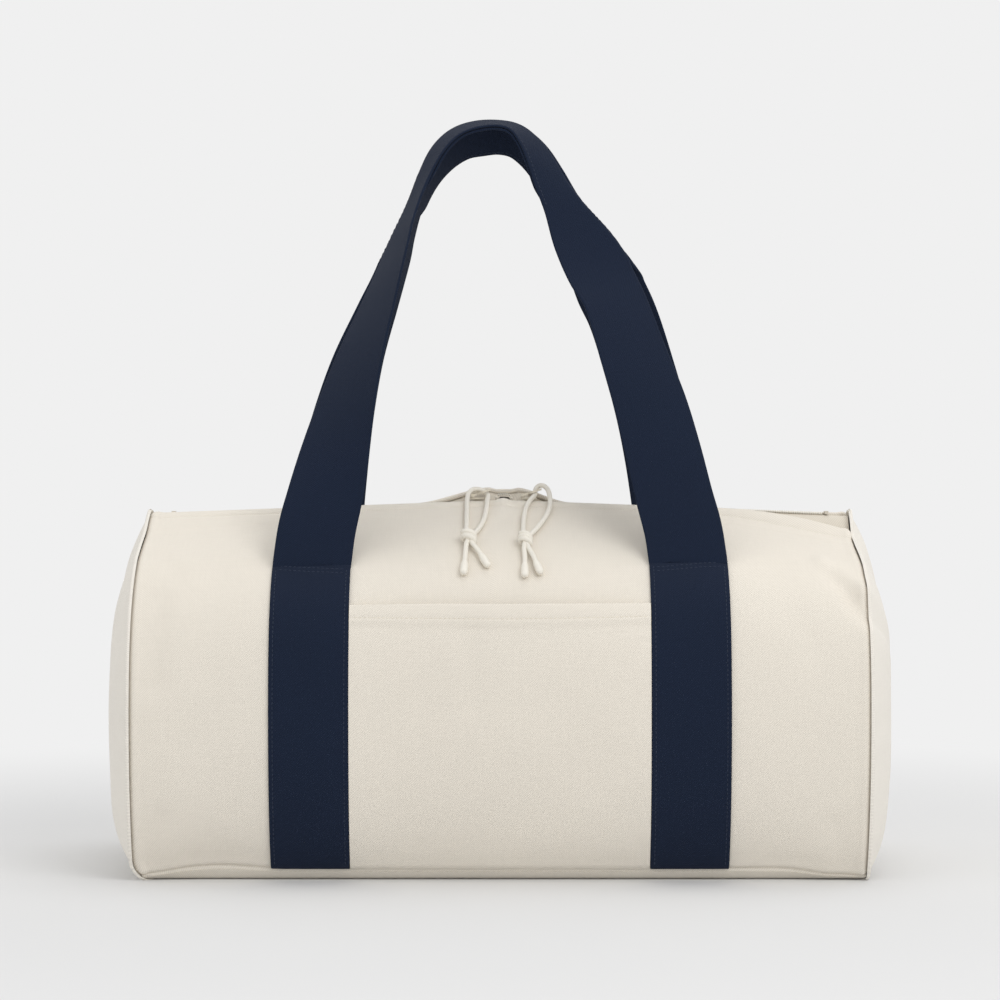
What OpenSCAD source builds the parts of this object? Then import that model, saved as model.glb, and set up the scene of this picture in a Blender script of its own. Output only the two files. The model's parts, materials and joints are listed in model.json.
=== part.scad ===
// Canvas barrel bag with two webbing handles, a front pocket and a two-way zip.
// Millimetres, +Z up, +X along the zip, the front faces -Y, the table is at z = 0.

/* [Body] */
// Distance between the two end seams
body_len = 464; // [400:2:540]
// Depth of the bag at its widest, front to back
body_depth = 240; // [216:2:270]
// Height of the zip ridge above the table, at its highest
ridge_h = 243; // [230:1:265]
// Height of the widest part of the front and back
belly_h = 105; // [90:1:120]
// How far the ridge falls from its highest point to each end seam
ridge_drop = 9; // [2:0.5:14]
// Bulge of each end panel beyond its seam
end_bulge = 25; // [12:1:34]
// Thickness of the canvas
canvas_t = 1.4; // [1:0.1:1.8]

/* [Base] */
// Height of the seam between the base panel and the sides
base_seam_h = 7; // [5:0.5:11]
// Depth of the base panel at its seam, front to back
base_depth = 194; // [180:2:210]
// Depth of the flat of the base that rests on the table
base_flat_depth = 172; // [150:2:178]

/* [Straps and handles] */
// Width of the webbing
webbing_w = 50; // [38:1:56]
// Thickness of the webbing
webbing_t = 1.8; // [1.2:0.1:2.4]
// Distance between the middles of the two straps on one side
strap_spacing = 240; // [200:2:280]
// How far below the zip ridge the cross stitch lies, where each handle leaves the bag
hinge_below = 43; // [35:1:55]
// Height of the front handle's grip above the zip ridge
grip_rise = 248; // [200:1:297]
// How far the back handle's grip nests under the front one
grip_nest = 10; // [8:0.5:20]
// How far in front of the bag's middle the front grip lies
front_grip_y = 13; // [12:0.5:20]
// How far behind the bag's middle the back grip lies
back_grip_y = 12; // [11:0.5:20]
// Width of the grip, where the webbing is folded in half and sewn
grip_w = 25; // [19:0.5:28]

/* [Pocket] */
// Height of the pocket's mouth at its two sides
pocket_h = 175; // [150:1:182]
// How far the mouth sags at its middle
pocket_sag = 4; // [0:0.5:8]
// How far the middle of the mouth stands off the front panel
pocket_gape = 10; // [8:0.5:14]
// Width of the folded hem along the mouth
pocket_hem_w = 9; // [6:0.5:14]
// Thickness of the pocket's canvas
pocket_t = 1.2; // [0.8:0.1:1.6]

/* [Zip] */
// Gap between the two folded edges over the zip
fold_gap = 7; // [6.4:0.1:8]
// Width of the hem that is folded under along the zip
fold_hem_w = 22; // [16:1:30]
// Width of each zip tape
tape_w = 15; // [11:0.5:18]
// Thickness of the zip tape
tape_t = 0.7; // [0.5:0.1:1]
// Width of each half of the zip coil
coil_w = 2.5; // [2.1:0.1:2.6]
// Height of the zip coil
coil_h = 2; // [1.6:0.1:2.2]
// Length of the zip's chain of coils
chain_len = 432; // [380:2:440]
// Length of the open mouth between the two sliders
mouth_len = 22; // [16:1:40]
// Place of the middle of that mouth along the zip
mouth_x = 2.5; // [-4:0.5:4]
// How far each side of the zip bows out at the mouth
mouth_spread = 3; // [2:0.1:4]

/* [Sliders and pullers] */
// Length of a slider
slider_len = 11; // [9:0.5:13]
// Width of a slider's top plate, which runs between the folded edges
slider_w = 6; // [5:0.1:6.2]
// Thickness of a slider's plates
slider_plate_t = 0.9; // [0.7:0.05:1.1]
// Height of the lug on a slider above its top plate
lug_h = 2.6; // [2.4:0.1:3.4]
// Diameter of the pin that a puller turns on
pin_d = 1.2; // [1:0.1:1.4]
// Distance from a puller's pin to the eye for its cord
puller_reach = 8; // [7.5:0.5:12]
// Diameter of the eye
eye_d = 7; // [6:0.1:7.4]
// How far the left puller is held up by the cord under it, in degrees
left_lift = 16; // [12:1:25]
// How far the right puller is held up by the cord under it, in degrees
right_lift = 20; // [12:1:25]
// Diameter of the pull cord
cord_d = 3.2; // [2.8:0.1:3.4]
// Diameter of the dipped tips of the cord
tip_d = 5; // [4.4:0.1:5.6]
// Length of the dipped tips
tip_len = 11; // [8:0.5:14]
// Width of the knot in the cord
knot_d = 9.5; // [8:0.1:11]

/* [Hidden] */

canvas = "#e6e1d5";
canvas_inside = "#dcd6c8";
navy = "#1f2c42";
zip_white = "#efece2";
cord_cream = "#ece7da";
slider_cream = "#e2dcc9";

// Gap left between soft pieces that lie on each other
clear = 0.3;
// How far cuts run past what they cut
overrun = 1;

// Outline of the bag, as a half section in shares of the named depths and heights.
// It runs from the flat of the base up to the seam, the belly and the ridge.
half_depth = body_depth / 2;
half_base = base_depth / 2;
half_flat = base_flat_depth / 2;
half_len = body_len / 2;
side_rise = belly_h - base_seam_h;
top_rise = ridge_h - belly_h;
BASE_CURVE = [[half_flat, 0],
              [half_flat + 0.5 * (half_base - half_flat), 0],
              [half_flat + 0.75 * (half_base - half_flat), 0.4 * base_seam_h],
              [half_base, base_seam_h]];
SIDE_CURVE = [[half_base, base_seam_h],
              [half_base + 0.6 * (half_depth - half_base), base_seam_h + 0.2 * side_rise],
              [half_depth, base_seam_h + 0.55 * side_rise],
              [half_depth, belly_h]];
TOP_CURVE = [[half_depth, belly_h],
             [half_depth, belly_h + 0.69 * top_rise],
             [0.7 * half_depth, belly_h + 0.73 * top_rise],
             [0, ridge_h]];
base_n = 4;
side_n = 8;
top_n = 20;
seam_k = base_n;
belly_k = base_n + side_n;
ridge_k = base_n + side_n + top_n;

function curve_point(c, t) = pow(1 - t, 3) * c[0] + 3 * t * pow(1 - t, 2) * c[1]
    + 3 * t * t * (1 - t) * c[2] + pow(t, 3) * c[3];
function curve_way(c, t) = pow(1 - t, 2) * (c[1] - c[0]) + 2 * t * (1 - t) * (c[2] - c[1])
    + t * t * (c[3] - c[2]);
function unit(v) = v / norm(v);
// A point of the half section with its outward normal: [depth, height, normal depth, normal height]
function skin_entry(c, t) = let (p = curve_point(c, t), w = unit(curve_way(c, t)))
    [p[0], p[1], w[1], -w[0]];
SKIN = concat([for (i = [0:base_n - 1]) skin_entry(BASE_CURVE, i / base_n)],
              [for (i = [0:side_n - 1]) skin_entry(SIDE_CURVE, i / side_n)],
              [for (i = [0:top_n - 1]) skin_entry(TOP_CURVE, i / top_n)],
              [[0, ridge_h, 0, 1]]);

hinge_h = ridge_h - hinge_below;
front_grip_h = ridge_h + grip_rise;
back_grip_h = front_grip_h - grip_nest;

// The ridge falls evenly from the mouth to both ends. The fall fades out a margin above the cross
// stitch, so the part of the side that carries the straps stays straight.
function fall_share(x) = x < mouth_x ? (mouth_x - x) / (half_len + mouth_x)
    : (x - mouth_x) / (half_len - mouth_x);
fall_margin = 7;
fall_from_h = hinge_h + fall_margin;
function top_share(h) = max(0, (h - fall_from_h) / (ridge_h - fall_from_h));
function ridge_z(x) = ridge_h - ridge_drop * fall_share(x);
// A point on the front's skin: section place i, place x along the bag, height off above the skin
function skin_node(i, x, off) = let (s = SKIN[i])
    [x, -(s[0] + off * s[2]), s[1] + off * s[3] - ridge_drop * fall_share(x) * top_share(s[1])];
function skin_point(k, x, off) = let (i = min(floor(k), ridge_k - 1), f = k - i)
    (1 - f) * skin_node(i, x, off) + f * skin_node(i + 1, x, off);
// Section places at a height on the side, and at a distance from the middle on the top
function k_at_height(h) = lookup(h, [for (i = [seam_k:ridge_k]) [SKIN[i][1], i]]);
function k_at_depth(y) = lookup(-y, [for (i = [belly_k:ridge_k]) [-SKIN[i][0], i]]);
// The section places from k0 to k1, with those whole places between that lie below inner_k
function places(k0, k1, inner_k) = concat([k0], [for (i = [floor(k0) + 1:ceil(inner_k) - 1]) i], [k1]);
function backwards(list) = [for (i = [len(list) - 1:-1:0]) list[i]];

// A closed solid through rings of points, with a flat cap on its first and last ring
module loft(rings) {
    n = len(rings[0]);
    last = len(rings) - 1;
    walls = [for (j = [0:last - 1], i = [0:n - 1]) let (a = j * n + i, b = j * n + (i + 1) % n)
        each [[a, b, b + n], [a, b + n, a + n]]];
    caps = [[for (i = [n - 1:-1:0]) i], [for (i = [0:n - 1]) last * n + i]];
    polyhedron([for (r = rings) each r], concat(walls, caps));
}

// A closed solid through rings that each run out along one face of a sheet and back along the other.
// Both faces are split along the same diagonals, so that a twisted sheet keeps its thickness.
module sheet_loft(rings) {
    n = len(rings[0]);
    half = n / 2;
    last = len(rings) - 1;
    walls = [for (j = [0:last - 1], i = [0:n - 1]) let (a = j * n + i, b = j * n + (i + 1) % n)
        each (i < half ? [[a, b, b + n], [a, b + n, a + n]] : [[a, b, a + n], [b, b + n, a + n]])];
    caps = [for (i = [0:half - 2]) let (b = i + 1, c = n - 2 - i, d = n - 1 - i, e = last * n)
        each [[d, b, i], [d, c, b], [e + i, e + b, e + d], [e + b, e + c, e + d]]];
    polyhedron([for (r = rings) each r], concat(walls, caps));
}

// Places along the bag where the sides of the zip bow out round the mouth, with their share of the bow
mouth_half = mouth_len / 2;
MOUTH = [[-mouth_half, 0], [-0.4 * mouth_half, 1], [0, 1], [0.4 * mouth_half, 1], [mouth_half, 0]];
end_steps = 3;
function mouth_stations(end_x) = concat(
    [for (i = [0:end_steps - 1]) [-end_x + i / end_steps * (mouth_x - mouth_half + end_x), 0]],
    [for (m = MOUTH) [mouth_x + m[0], m[1]]],
    [for (i = [end_steps - 1:-1:0]) [end_x - i / end_steps * (end_x - mouth_x - mouth_half), 0]]);

// A strip of the top along the zip, between two distances from the middle and two heights above the
// skin. Its inner edge bows out at the mouth, and its outer edge by the share outer_bow of that.
module zip_strip(end_x, edge, width, low, high, outer_bow) {
    inner_k = k_at_depth(edge + mouth_spread);
    sheet_loft([for (m = mouth_stations(end_x))
        let (shift = m[1] * mouth_spread, k1 = k_at_depth(edge + shift),
             ks = places(k_at_depth(edge + width + outer_bow * shift), k1, inner_k))
        concat([for (k = ks) skin_point(k, m[0], high)],
               [for (k = backwards(ks)) skin_point(k, m[0], low)])]);
}

fold_edge = fold_gap / 2;
tape_top = 2 * canvas_t + clear;
coil_edge = fold_edge - clear - coil_w;
tape_edge = coil_edge + coil_w / 4;
coil_low = clear / 2 - tape_top;

// A hem is two layers thick from just past its raw edge, given as a share of a section place
hem_step_share = 0.05;
function layers(k, hem_k) = k > hem_k ? 2 : 1;

// Front or back panel: one cloth from the base seam to the folded edge, double along its hem
module side_panel() {
    inner_k = k_at_depth(fold_edge + mouth_spread);
    hem_k = k_at_depth(fold_edge + fold_hem_w);
    sheet_loft([for (m = mouth_stations(half_len))
        let (k1 = k_at_depth(fold_edge + m[1] * mouth_spread),
             ks = concat(places(seam_k, hem_k, hem_k), places(hem_k + hem_step_share, k1, inner_k)))
        concat([for (k = ks) skin_point(k, m[0], 0)],
               [for (k = backwards(ks)) skin_point(k, m[0], -layers(k, hem_k) * canvas_t)])]);
}

module front_panel() color(canvas) side_panel();
module back_panel() color(canvas) mirror([0, 1, 0]) side_panel();

function section_2d(i, off) = [SKIN[i][0] + off * SKIN[i][2], SKIN[i][1] + off * SKIN[i][3]];

// Base panel: a shallow tray, flat on the table, whose front and back edges turn up to the seam
module base_panel() {
    outer = [for (i = [0:seam_k]) section_2d(i, 0)];
    inner = [for (i = [seam_k:-1:0]) section_2d(i, -canvas_t)];
    half = concat(outer, inner);
    mirrored = [for (p = backwards(half)) [-p[0], p[1]]];
    color(canvas) rotate([90, 0, 90]) translate([0, 0, -half_len])
        linear_extrude(body_len) polygon(concat(half, mirrored));
}

// End panel: the outline of the section, puffed outwards like a pillow
dome_shares = [1, 0.94, 0.84, 0.69, 0.46, 0.18];
dome_power = 4;
function end_outline(off) = let (half = [for (i = [0:ridge_k]) skin_node(i, half_len, off)])
    concat(half, [for (i = [ridge_k - 1:-1:0]) [half[i][0], -half[i][1], half[i][2]]]);
function dome_ring(share, off, bulge) = [for (p = end_outline(off))
    [half_len + bulge * (1 - pow(share, dome_power)), share * p[1], belly_h + share * (p[2] - belly_h)]];

module end_panel() {
    inner = [for (s = backwards(dome_shares)) dome_ring(s, -canvas_t, end_bulge - canvas_t)];
    outer = [for (s = dome_shares) dome_ring(s, 0, end_bulge)];
    loft(concat(inner, outer));
}

module end_panel_right() color(canvas) end_panel();
module end_panel_left() color(canvas) mirror([1, 0, 0]) end_panel();

// Patch pocket between the two front straps, sewn at its sides and foot, with a hemmed mouth
pocket_half = strap_spacing / 2 - webbing_w / 2 - clear;
pocket_stations = [-1, -0.75, -0.4, 0, 0.4, 0.75, 1];
pocket_bow_shares = [0, 0.45, 0.88, 1, 0.88, 0.45, 0];
pocket_foot_n = 3;
// How far the pocket stands off the panel: nothing up to its foot, then more and more up to its mouth
pocket_foot_k = seam_k + pocket_foot_n;
function pocket_stand(k, bow) =
    let (up = max(0, (k - pocket_foot_k) / (k_at_height(pocket_h) - pocket_foot_k)))
    clear + bow * (pocket_gape - clear) * pow(up, 1.5);

module front_pocket() color(canvas) {
    inner_k = k_at_height(pocket_h - pocket_sag - pocket_hem_w);
    sheet_loft([for (j = [0:len(pocket_stations) - 1])
        let (x = pocket_stations[j] * pocket_half, bow = pocket_bow_shares[j],
             k1 = k_at_height(pocket_h - bow * pocket_sag),
             hem_k = k_at_height(pocket_h - bow * pocket_sag - pocket_hem_w),
             ks = concat(places(seam_k, hem_k, inner_k), [hem_k + hem_step_share, k1]))
        concat([for (k = ks) skin_point(k, x, pocket_stand(k, bow) + layers(k, hem_k) * pocket_t)],
               [for (k = backwards(ks)) skin_point(k, x, pocket_stand(k, bow))])]);
}

// Zip: two tapes under the hems, a half of the coil on each, and a stop at each end
module zip_tape() zip_strip(half_len - clear, tape_edge, tape_w, -tape_top - tape_t, -tape_top, 0);
module zip_coil() zip_strip(chain_len / 2, coil_edge, coil_w, coil_low, coil_low + coil_h, 1);
module zip_tape_front() color(canvas_inside) zip_tape();
module zip_tape_back() color(canvas_inside) mirror([0, 1, 0]) zip_tape();
module zip_coil_front() color(zip_white) zip_coil();
module zip_coil_back() color(zip_white) mirror([0, 1, 0]) zip_coil();

stop_len = coil_w;
module zip_end_stops() color(zip_white)
    for (side = [-1, 1])
        translate([side * (chain_len / 2 + clear + stop_len / 2), 0,
                   ridge_z(side * chain_len / 2) + coil_low + coil_h / 2])
            cube([stop_len, 2 * (coil_edge + coil_w), coil_h], center = true);

// Slider: a plate over the coils and one under the tapes, a thin neck between, and a drilled lug
ridge_slope_share = (TOP_CURVE[3][1] - TOP_CURVE[2][1]) / TOP_CURVE[2][0];
slider_over = coil_low + coil_h + clear;
slider_under = slider_w / 2 * ridge_slope_share + tape_top + tape_t + clear;
neck_t = 2 * (coil_edge - clear);
lug_w = 1.6;
pin_x = -slider_len / 2 + lug_w;
pin_z = slider_over + slider_plate_t + lug_h / 2 + clear;
bore_clear = 0.15;

module slider_plate(bottom) translate([0, 0, bottom])
    linear_extrude(slider_plate_t) {
        square([slider_len - slider_w, slider_w], center = true);
        for (side = [-1, 1])
            translate([side * (slider_len - slider_w) / 2, 0]) circle(d = slider_w, $fn = 32);
    }

module slider() color(slider_cream) {
    slider_plate(slider_over);
    slider_plate(-slider_under - slider_plate_t);
    translate([-slider_len / 4, -neck_t / 2, -slider_under - slider_plate_t / 2])
        cube([slider_len / 2, neck_t, slider_under + slider_over + slider_plate_t]);
    difference() {
        union() {
            translate([pin_x, 0, pin_z]) rotate([90, 0, 0])
                cylinder(d = lug_h, h = lug_w, center = true, $fn = 32);
            translate([pin_x - lug_h / 2, -lug_w / 2, slider_over + slider_plate_t / 2])
                cube([lug_h, lug_w, pin_z - slider_over - slider_plate_t / 2]);
        }
        translate([pin_x, 0, pin_z]) rotate([90, 0, 0])
            cylinder(d = pin_d + 2 * bore_clear, h = lug_w + 2 * overrun, center = true, $fn = 32);
    }
}

// Puller: a pin in the slider's lug, a cheek on each side of it, and a flat tab with an eye
cheek_t = 0.8;
cheek_gap = lug_w / 2 + clear;
eye_wall = 1.4;
tab_t = 1.2;

module puller() color(slider_cream) {
    rotate([90, 0, 0])
        cylinder(d = pin_d, h = 2 * (cheek_gap + cheek_t), center = true, $fn = 32);
    for (side = [-1, 1])
        translate([0, side * (cheek_gap + cheek_t / 2), 0]) {
            rotate([90, 0, 0]) cylinder(d = 2 * pin_d, h = cheek_t, center = true, $fn = 32);
            translate([0, -cheek_t / 2, -tab_t / 2])
                cube([puller_reach - eye_d / 2 - eye_wall / 2, cheek_t, tab_t]);
        }
    translate([puller_reach, 0, -tab_t / 2]) difference() {
        cylinder(d = eye_d + 2 * eye_wall, h = tab_t, $fn = 48);
        translate([0, 0, -overrun]) cylinder(d = eye_d, h = tab_t + 2 * overrun, $fn = 48);
    }
}

// The sliders stand at the two ends of the mouth, tilted with the fall of the ridge
fall_left = atan(ridge_drop / (half_len + mouth_x));
fall_right = atan(ridge_drop / (half_len - mouth_x));
slider_left_x = mouth_x - mouth_half - slider_len / 2 - clear;
slider_right_x = mouth_x + mouth_half + slider_len / 2 + clear;

module at_slider_left() translate([slider_left_x, 0, ridge_z(slider_left_x)])
    rotate([0, -fall_left, 0]) children();
module at_slider_right() translate([slider_right_x, 0, ridge_z(slider_right_x)])
    rotate([0, fall_right, 0]) children();

module slider_left() at_slider_left() slider();
module slider_right() at_slider_right() slider();
module puller_left() at_slider_left() translate([pin_x, 0, pin_z]) rotate([0, -left_lift, 0]) puller();
module puller_right() at_slider_right() translate([pin_x, 0, pin_z]) rotate([0, -right_lift, 0]) puller();

// Pull cords: each passes through its puller's eye, and its two legs are tied in one knot on the
// front shoulder, from which two tails hang. The points are the middle line of the cord.
LEFT_LOOP = [[-22, -64.8, 219], [-21.8, -58, 220], [-21.7, -48, 224.2], [-21.8, -36, 229.6],
             [-21.8, -24, 234.9], [-21.8, -14, 239.6], [-21.5, -7.5, 243.2], [-20.9, -4, 245.4],
             [-19.4, -1.6, 247.2], [-17.2, -0.1, 248.2], [-14.9, 0.5, 248.3], [-12.6, 0.4, 247.7],
             [-10.6, -0.1, 246.6], [-9, -0.9, 245.4], [-8.2, -2.4, 244.3], [-8, -4.6, 243.3],
             [-8.2, -8, 241.8], [-8.6, -15, 238.7], [-9.2, -26, 233.8], [-10.4, -38, 228.6],
             [-12.8, -49, 223.8], [-16, -58.5, 220], [-18.4, -64.8, 218.6]];
LEFT_TAILS = [[[-21.5, -75, 213], [-22, -82, 207.5], [-22.5, -90, 201]],
              [[-18, -74, 213.5], [-14.5, -79.5, 209.5], [-11.5, -85, 205]]];
RIGHT_LOOP = [[14.4, -67, 217.9], [15, -60, 219.4], [15.2, -50, 223.5], [15.6, -38, 228.8],
              [16.6, -26, 234], [18.2, -17, 238], [20.4, -9.5, 241.4], [22.3, -5.2, 243.3],
              [23.2, -2.9, 244.4], [23.4, -1.1, 245.6], [23.5, 0.2, 247.1], [24.2, 1.1, 248.9],
              [26.1, 1.3, 250.5], [28.8, 0.4, 250.6], [31.2, -1.6, 248.8], [32.4, -4.3, 246.6],
              [33, -8, 243.7], [33.2, -13, 240.8], [32.6, -22, 236], [30.6, -32, 231.4],
              [27.6, -42, 227], [23.8, -52, 222.6], [20.2, -60.5, 219.2], [18, -67, 217.6]];
RIGHT_TAILS = [[[15.4, -77.5, 211], [15.8, -84.5, 205.5], [15.8, -91.5, 199.5]],
               [[18, -77.5, 211], [20.8, -84, 206], [23, -90, 201]]];
LEFT_KNOT = [-20, -68.7, 217.5];
RIGHT_KNOT = [16.3, -71.3, 216];

cord_sides = 8;
// The cords lie on the shoulder, so the shoulder's normal serves as the upright of every ring
shoulder_up = [0, -0.6, 0.8];
function way_at(p, i) = unit(p[min(i + 1, len(p) - 1)] - p[max(i - 1, 0)]);
function cord_ring(centre, way, d) = let (side = unit(cross(way, shoulder_up)), up = cross(side, way))
    [for (a = [0:cord_sides - 1]) centre + d / 2 * (cos(360 * a / cord_sides) * side
        + sin(360 * a / cord_sides) * up)];
module cord(points) loft([for (i = [0:len(points) - 1]) cord_ring(points[i], way_at(points, i), cord_d)]);

// The knot is a rounded lump, a little flatter than it is wide
knot_shares = [0.45, 0.85, 1, 0.85, 0.45];
knot_places = [-0.5, -0.28, 0, 0.28, 0.5];
module knot(centre) {
    down = unit([0, -0.75, -0.65]);
    loft([for (i = [0:len(knot_shares) - 1])
        cord_ring(centre + knot_places[i] * knot_d * down, down, knot_shares[i] * knot_d)]);
}
module pull_cord(loop, tails, knot_centre) color(cord_cream) union() {
    cord(loop);
    for (t = tails) cord(concat([knot_centre], t));
    knot(knot_centre);
}

// Dipped tips: rounded, thicker ends that begin where the cord's tails stop
tip_shares = [0.64, 0.86, 1, 1, 0.86, 0.5];
tip_places = [0, 0.12, 0.35, 0.72, 0.92, 1];
module cord_tips(tails) color(cord_cream)
    for (t = tails) {
        end = t[len(t) - 1];
        way = way_at(t, len(t) - 1);
        loft([for (i = [0:len(tip_shares) - 1])
            cord_ring(end + tip_places[i] * tip_len * way, way, tip_shares[i] * tip_d)]);
    }

module pull_cord_left() pull_cord(LEFT_LOOP, LEFT_TAILS, LEFT_KNOT);
module pull_cord_right() pull_cord(RIGHT_LOOP, RIGHT_TAILS, RIGHT_KNOT);
module cord_tips_left() cord_tips(LEFT_TAILS);
module cord_tips_right() cord_tips(RIGHT_TAILS);

// Sewn part of a strap: webbing that follows the side from the base seam up to the cross stitch
module strap(middle_x) {
    ks = places(seam_k, k_at_height(hinge_h - clear), k_at_height(hinge_h - clear));
    outer = [for (k = ks) skin_point(k, 0, clear + webbing_t)];
    inner = [for (k = backwards(ks)) skin_point(k, 0, clear)];
    color(navy) rotate([90, 0, 90]) translate([0, 0, middle_x - webbing_w / 2])
        linear_extrude(webbing_w) polygon([for (p = concat(outer, inner)) [p[1], p[2]]]);
}

module front_strap_left() strap(-strap_spacing / 2);
module front_strap_right() strap(strap_spacing / 2);
module back_strap_left() mirror([0, 1, 0]) strap(-strap_spacing / 2);
module back_strap_right() mirror([0, 1, 0]) strap(strap_spacing / 2);

// Handles: each is one webbing that leaves the strap flat, turns on edge on its way up and is folded
// in half along the grip. Rows: side place, height, turn in degrees, how far it is folded (0 to 1).
FRONT_SHARES = [
    [-1, 0, 0, 0], [-0.975, 0.07, 2, 0], [-0.935, 0.145, 9, 0], [-0.885, 0.245, 23, 0],
    [-0.83, 0.35, 37, 0], [-0.755, 0.465, 48, 0], [-0.665, 0.58, 57, 0], [-0.57, 0.7, 65, 0.15],
    [-0.46, 0.815, 71, 0.65], [-0.385, 0.88, 72, 1], [-0.31, 0.93, 72, 1], [-0.22, 0.97, 70, 1],
    [-0.115, 0.994, 69, 1], [0, 1, 66, 1], [0.09, 0.985, 58, 1], [0.17, 0.95, 48, 1],
    [0.235, 0.905, 38, 1], [0.29, 0.855, 25, 1], [0.355, 0.8, 14, 0.85], [0.44, 0.725, 10, 0.45],
    [0.535, 0.65, 14, 0.12], [0.63, 0.58, 18, 0], [0.725, 0.46, 16, 0], [0.81, 0.35, 12, 0],
    [0.875, 0.245, 8, 0], [0.93, 0.145, 4, 0], [0.975, 0.07, 1, 0], [1, 0, 0, 0]];
BACK_SHARES = [
    [-1, 0, 0, 0], [-1, 0.07, 3, 0], [-0.985, 0.15, 10, 0], [-0.945, 0.25, 24, 0],
    [-0.89, 0.36, 36, 0], [-0.81, 0.48, 47, 0], [-0.705, 0.6, 57, 0], [-0.59, 0.72, 65, 0.15],
    [-0.47, 0.83, 66, 0.65], [-0.385, 0.895, 58, 1], [-0.3, 0.945, 48, 1], [-0.2, 0.98, 38, 1],
    [-0.1, 0.996, 30, 1], [0, 1, 28, 1], [0.1, 0.99, 28, 1], [0.19, 0.96, 30, 1],
    [0.265, 0.915, 34, 1], [0.33, 0.86, 30, 1], [0.4, 0.8, 20, 0.85], [0.485, 0.725, 14, 0.45],
    [0.58, 0.65, 16, 0.12], [0.675, 0.58, 18, 0], [0.78, 0.46, 16, 0], [0.865, 0.35, 12, 0],
    [0.925, 0.245, 8, 0], [0.965, 0.145, 4, 0], [0.99, 0.07, 1, 0], [1, 0, 0, 0]];

hinge_k = k_at_height(hinge_h);
hinge_point = skin_point(hinge_k, 0, clear + webbing_t);

// A handle drawn in its own leaning plane: u up along the plane, v square to it towards the middle
function handle_ring(rows, i, up, lean) =
    let (row = rows[i], a = rows[max(i - 1, 0)], b = rows[min(i + 1, len(rows) - 1)],
         reach = strap_spacing / 2,
         u = [0, sin(lean), cos(lean)], v = [0, cos(lean), -sin(lean)],
         flat_end = i == 0 || i == len(rows) - 1,
         way = flat_end ? (i == 0 ? u : -u) : unit([(b[0] - a[0]) * reach, 0, 0] + (b[1] - a[1]) * up * u),
         out = cross(way, v),
         wide = cos(row[2]) * out + sin(row[2]) * v,
         thick = cross(way, wide),
         w = webbing_w + row[3] * (grip_w - webbing_w), t = webbing_t * (1 + row[3]),
         middle = [row[0] * reach, 0, 0] + (row[1] * up + clear) * u + webbing_t / 2 * v)
    [for (c = [[-1, 1], [1, 1], [1, -1], [-1, -1]]) middle + c[0] * w / 2 * wide + c[1] * t / 2 * thick];

module handle(rows, grip_h, grip_y) {
    away = -hinge_point[1] - grip_y;
    rise = grip_h - hinge_point[2];
    lean = atan(away / rise);
    up = norm([away, rise]);
    color(navy) translate([0, hinge_point[1], hinge_point[2]])
        sheet_loft([for (i = [0:len(rows) - 1]) handle_ring(rows, i, up, lean)]);
}

module front_handle() handle(FRONT_SHARES, front_grip_h, front_grip_y);
module back_handle() mirror([0, 1, 0]) handle(BACK_SHARES, back_grip_h, back_grip_y);

front_panel();
back_panel();
base_panel();
end_panel_left();
end_panel_right();
front_pocket();
zip_tape_front();
zip_tape_back();
zip_coil_front();
zip_coil_back();
zip_end_stops();
slider_left();
slider_right();
puller_left();
puller_right();
pull_cord_left();
pull_cord_right();
cord_tips_left();
cord_tips_right();
front_strap_left();
front_strap_right();
back_strap_left();
back_strap_right();
front_handle();
back_handle();
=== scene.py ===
# %% [markdown]
# # A canvas barrel bag
# The bag is a soft tube of cotton canvas with two webbing handles, a patch pocket and a two-way zip
# whose sliders are pulled by short knotted cords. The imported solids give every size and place. This
# notebook dresses them: each cell makes one piece or one finish, in metres, in the frame of the solids.

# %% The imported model
import math

import bpy
import numpy as np
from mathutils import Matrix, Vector, noise
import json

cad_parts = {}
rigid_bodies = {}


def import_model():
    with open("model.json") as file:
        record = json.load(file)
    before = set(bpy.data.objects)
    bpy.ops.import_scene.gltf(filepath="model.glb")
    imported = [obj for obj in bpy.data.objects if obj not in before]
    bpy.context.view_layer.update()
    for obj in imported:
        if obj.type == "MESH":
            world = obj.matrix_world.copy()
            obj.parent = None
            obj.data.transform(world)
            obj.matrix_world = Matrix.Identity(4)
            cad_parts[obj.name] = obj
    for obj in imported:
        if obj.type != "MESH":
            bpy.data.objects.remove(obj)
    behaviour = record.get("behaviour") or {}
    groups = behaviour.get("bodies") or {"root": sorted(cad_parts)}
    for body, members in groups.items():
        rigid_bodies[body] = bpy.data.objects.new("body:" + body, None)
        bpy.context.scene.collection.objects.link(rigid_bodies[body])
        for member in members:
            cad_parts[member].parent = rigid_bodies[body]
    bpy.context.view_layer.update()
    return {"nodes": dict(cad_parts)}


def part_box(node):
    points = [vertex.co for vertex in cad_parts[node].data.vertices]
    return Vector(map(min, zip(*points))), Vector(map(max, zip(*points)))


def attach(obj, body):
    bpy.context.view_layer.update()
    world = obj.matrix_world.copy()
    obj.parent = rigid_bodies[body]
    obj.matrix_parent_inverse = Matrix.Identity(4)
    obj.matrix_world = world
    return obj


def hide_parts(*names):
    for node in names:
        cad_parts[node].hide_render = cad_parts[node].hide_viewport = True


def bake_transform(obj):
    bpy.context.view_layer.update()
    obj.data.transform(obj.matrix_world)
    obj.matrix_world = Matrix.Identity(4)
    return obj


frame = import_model()
MM = 0.001

# %% [markdown]
# The photograph was taken from the front, level with the zip, through a long lens. A long lens keeps
# the sides of the bag nearly parallel, so the camera stands almost two metres away.

# %% Camera
CAMERA_DISTANCE = 1.9
EYE_HEIGHT = 0.241
FOCAL_LENGTH = 102.5

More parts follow.
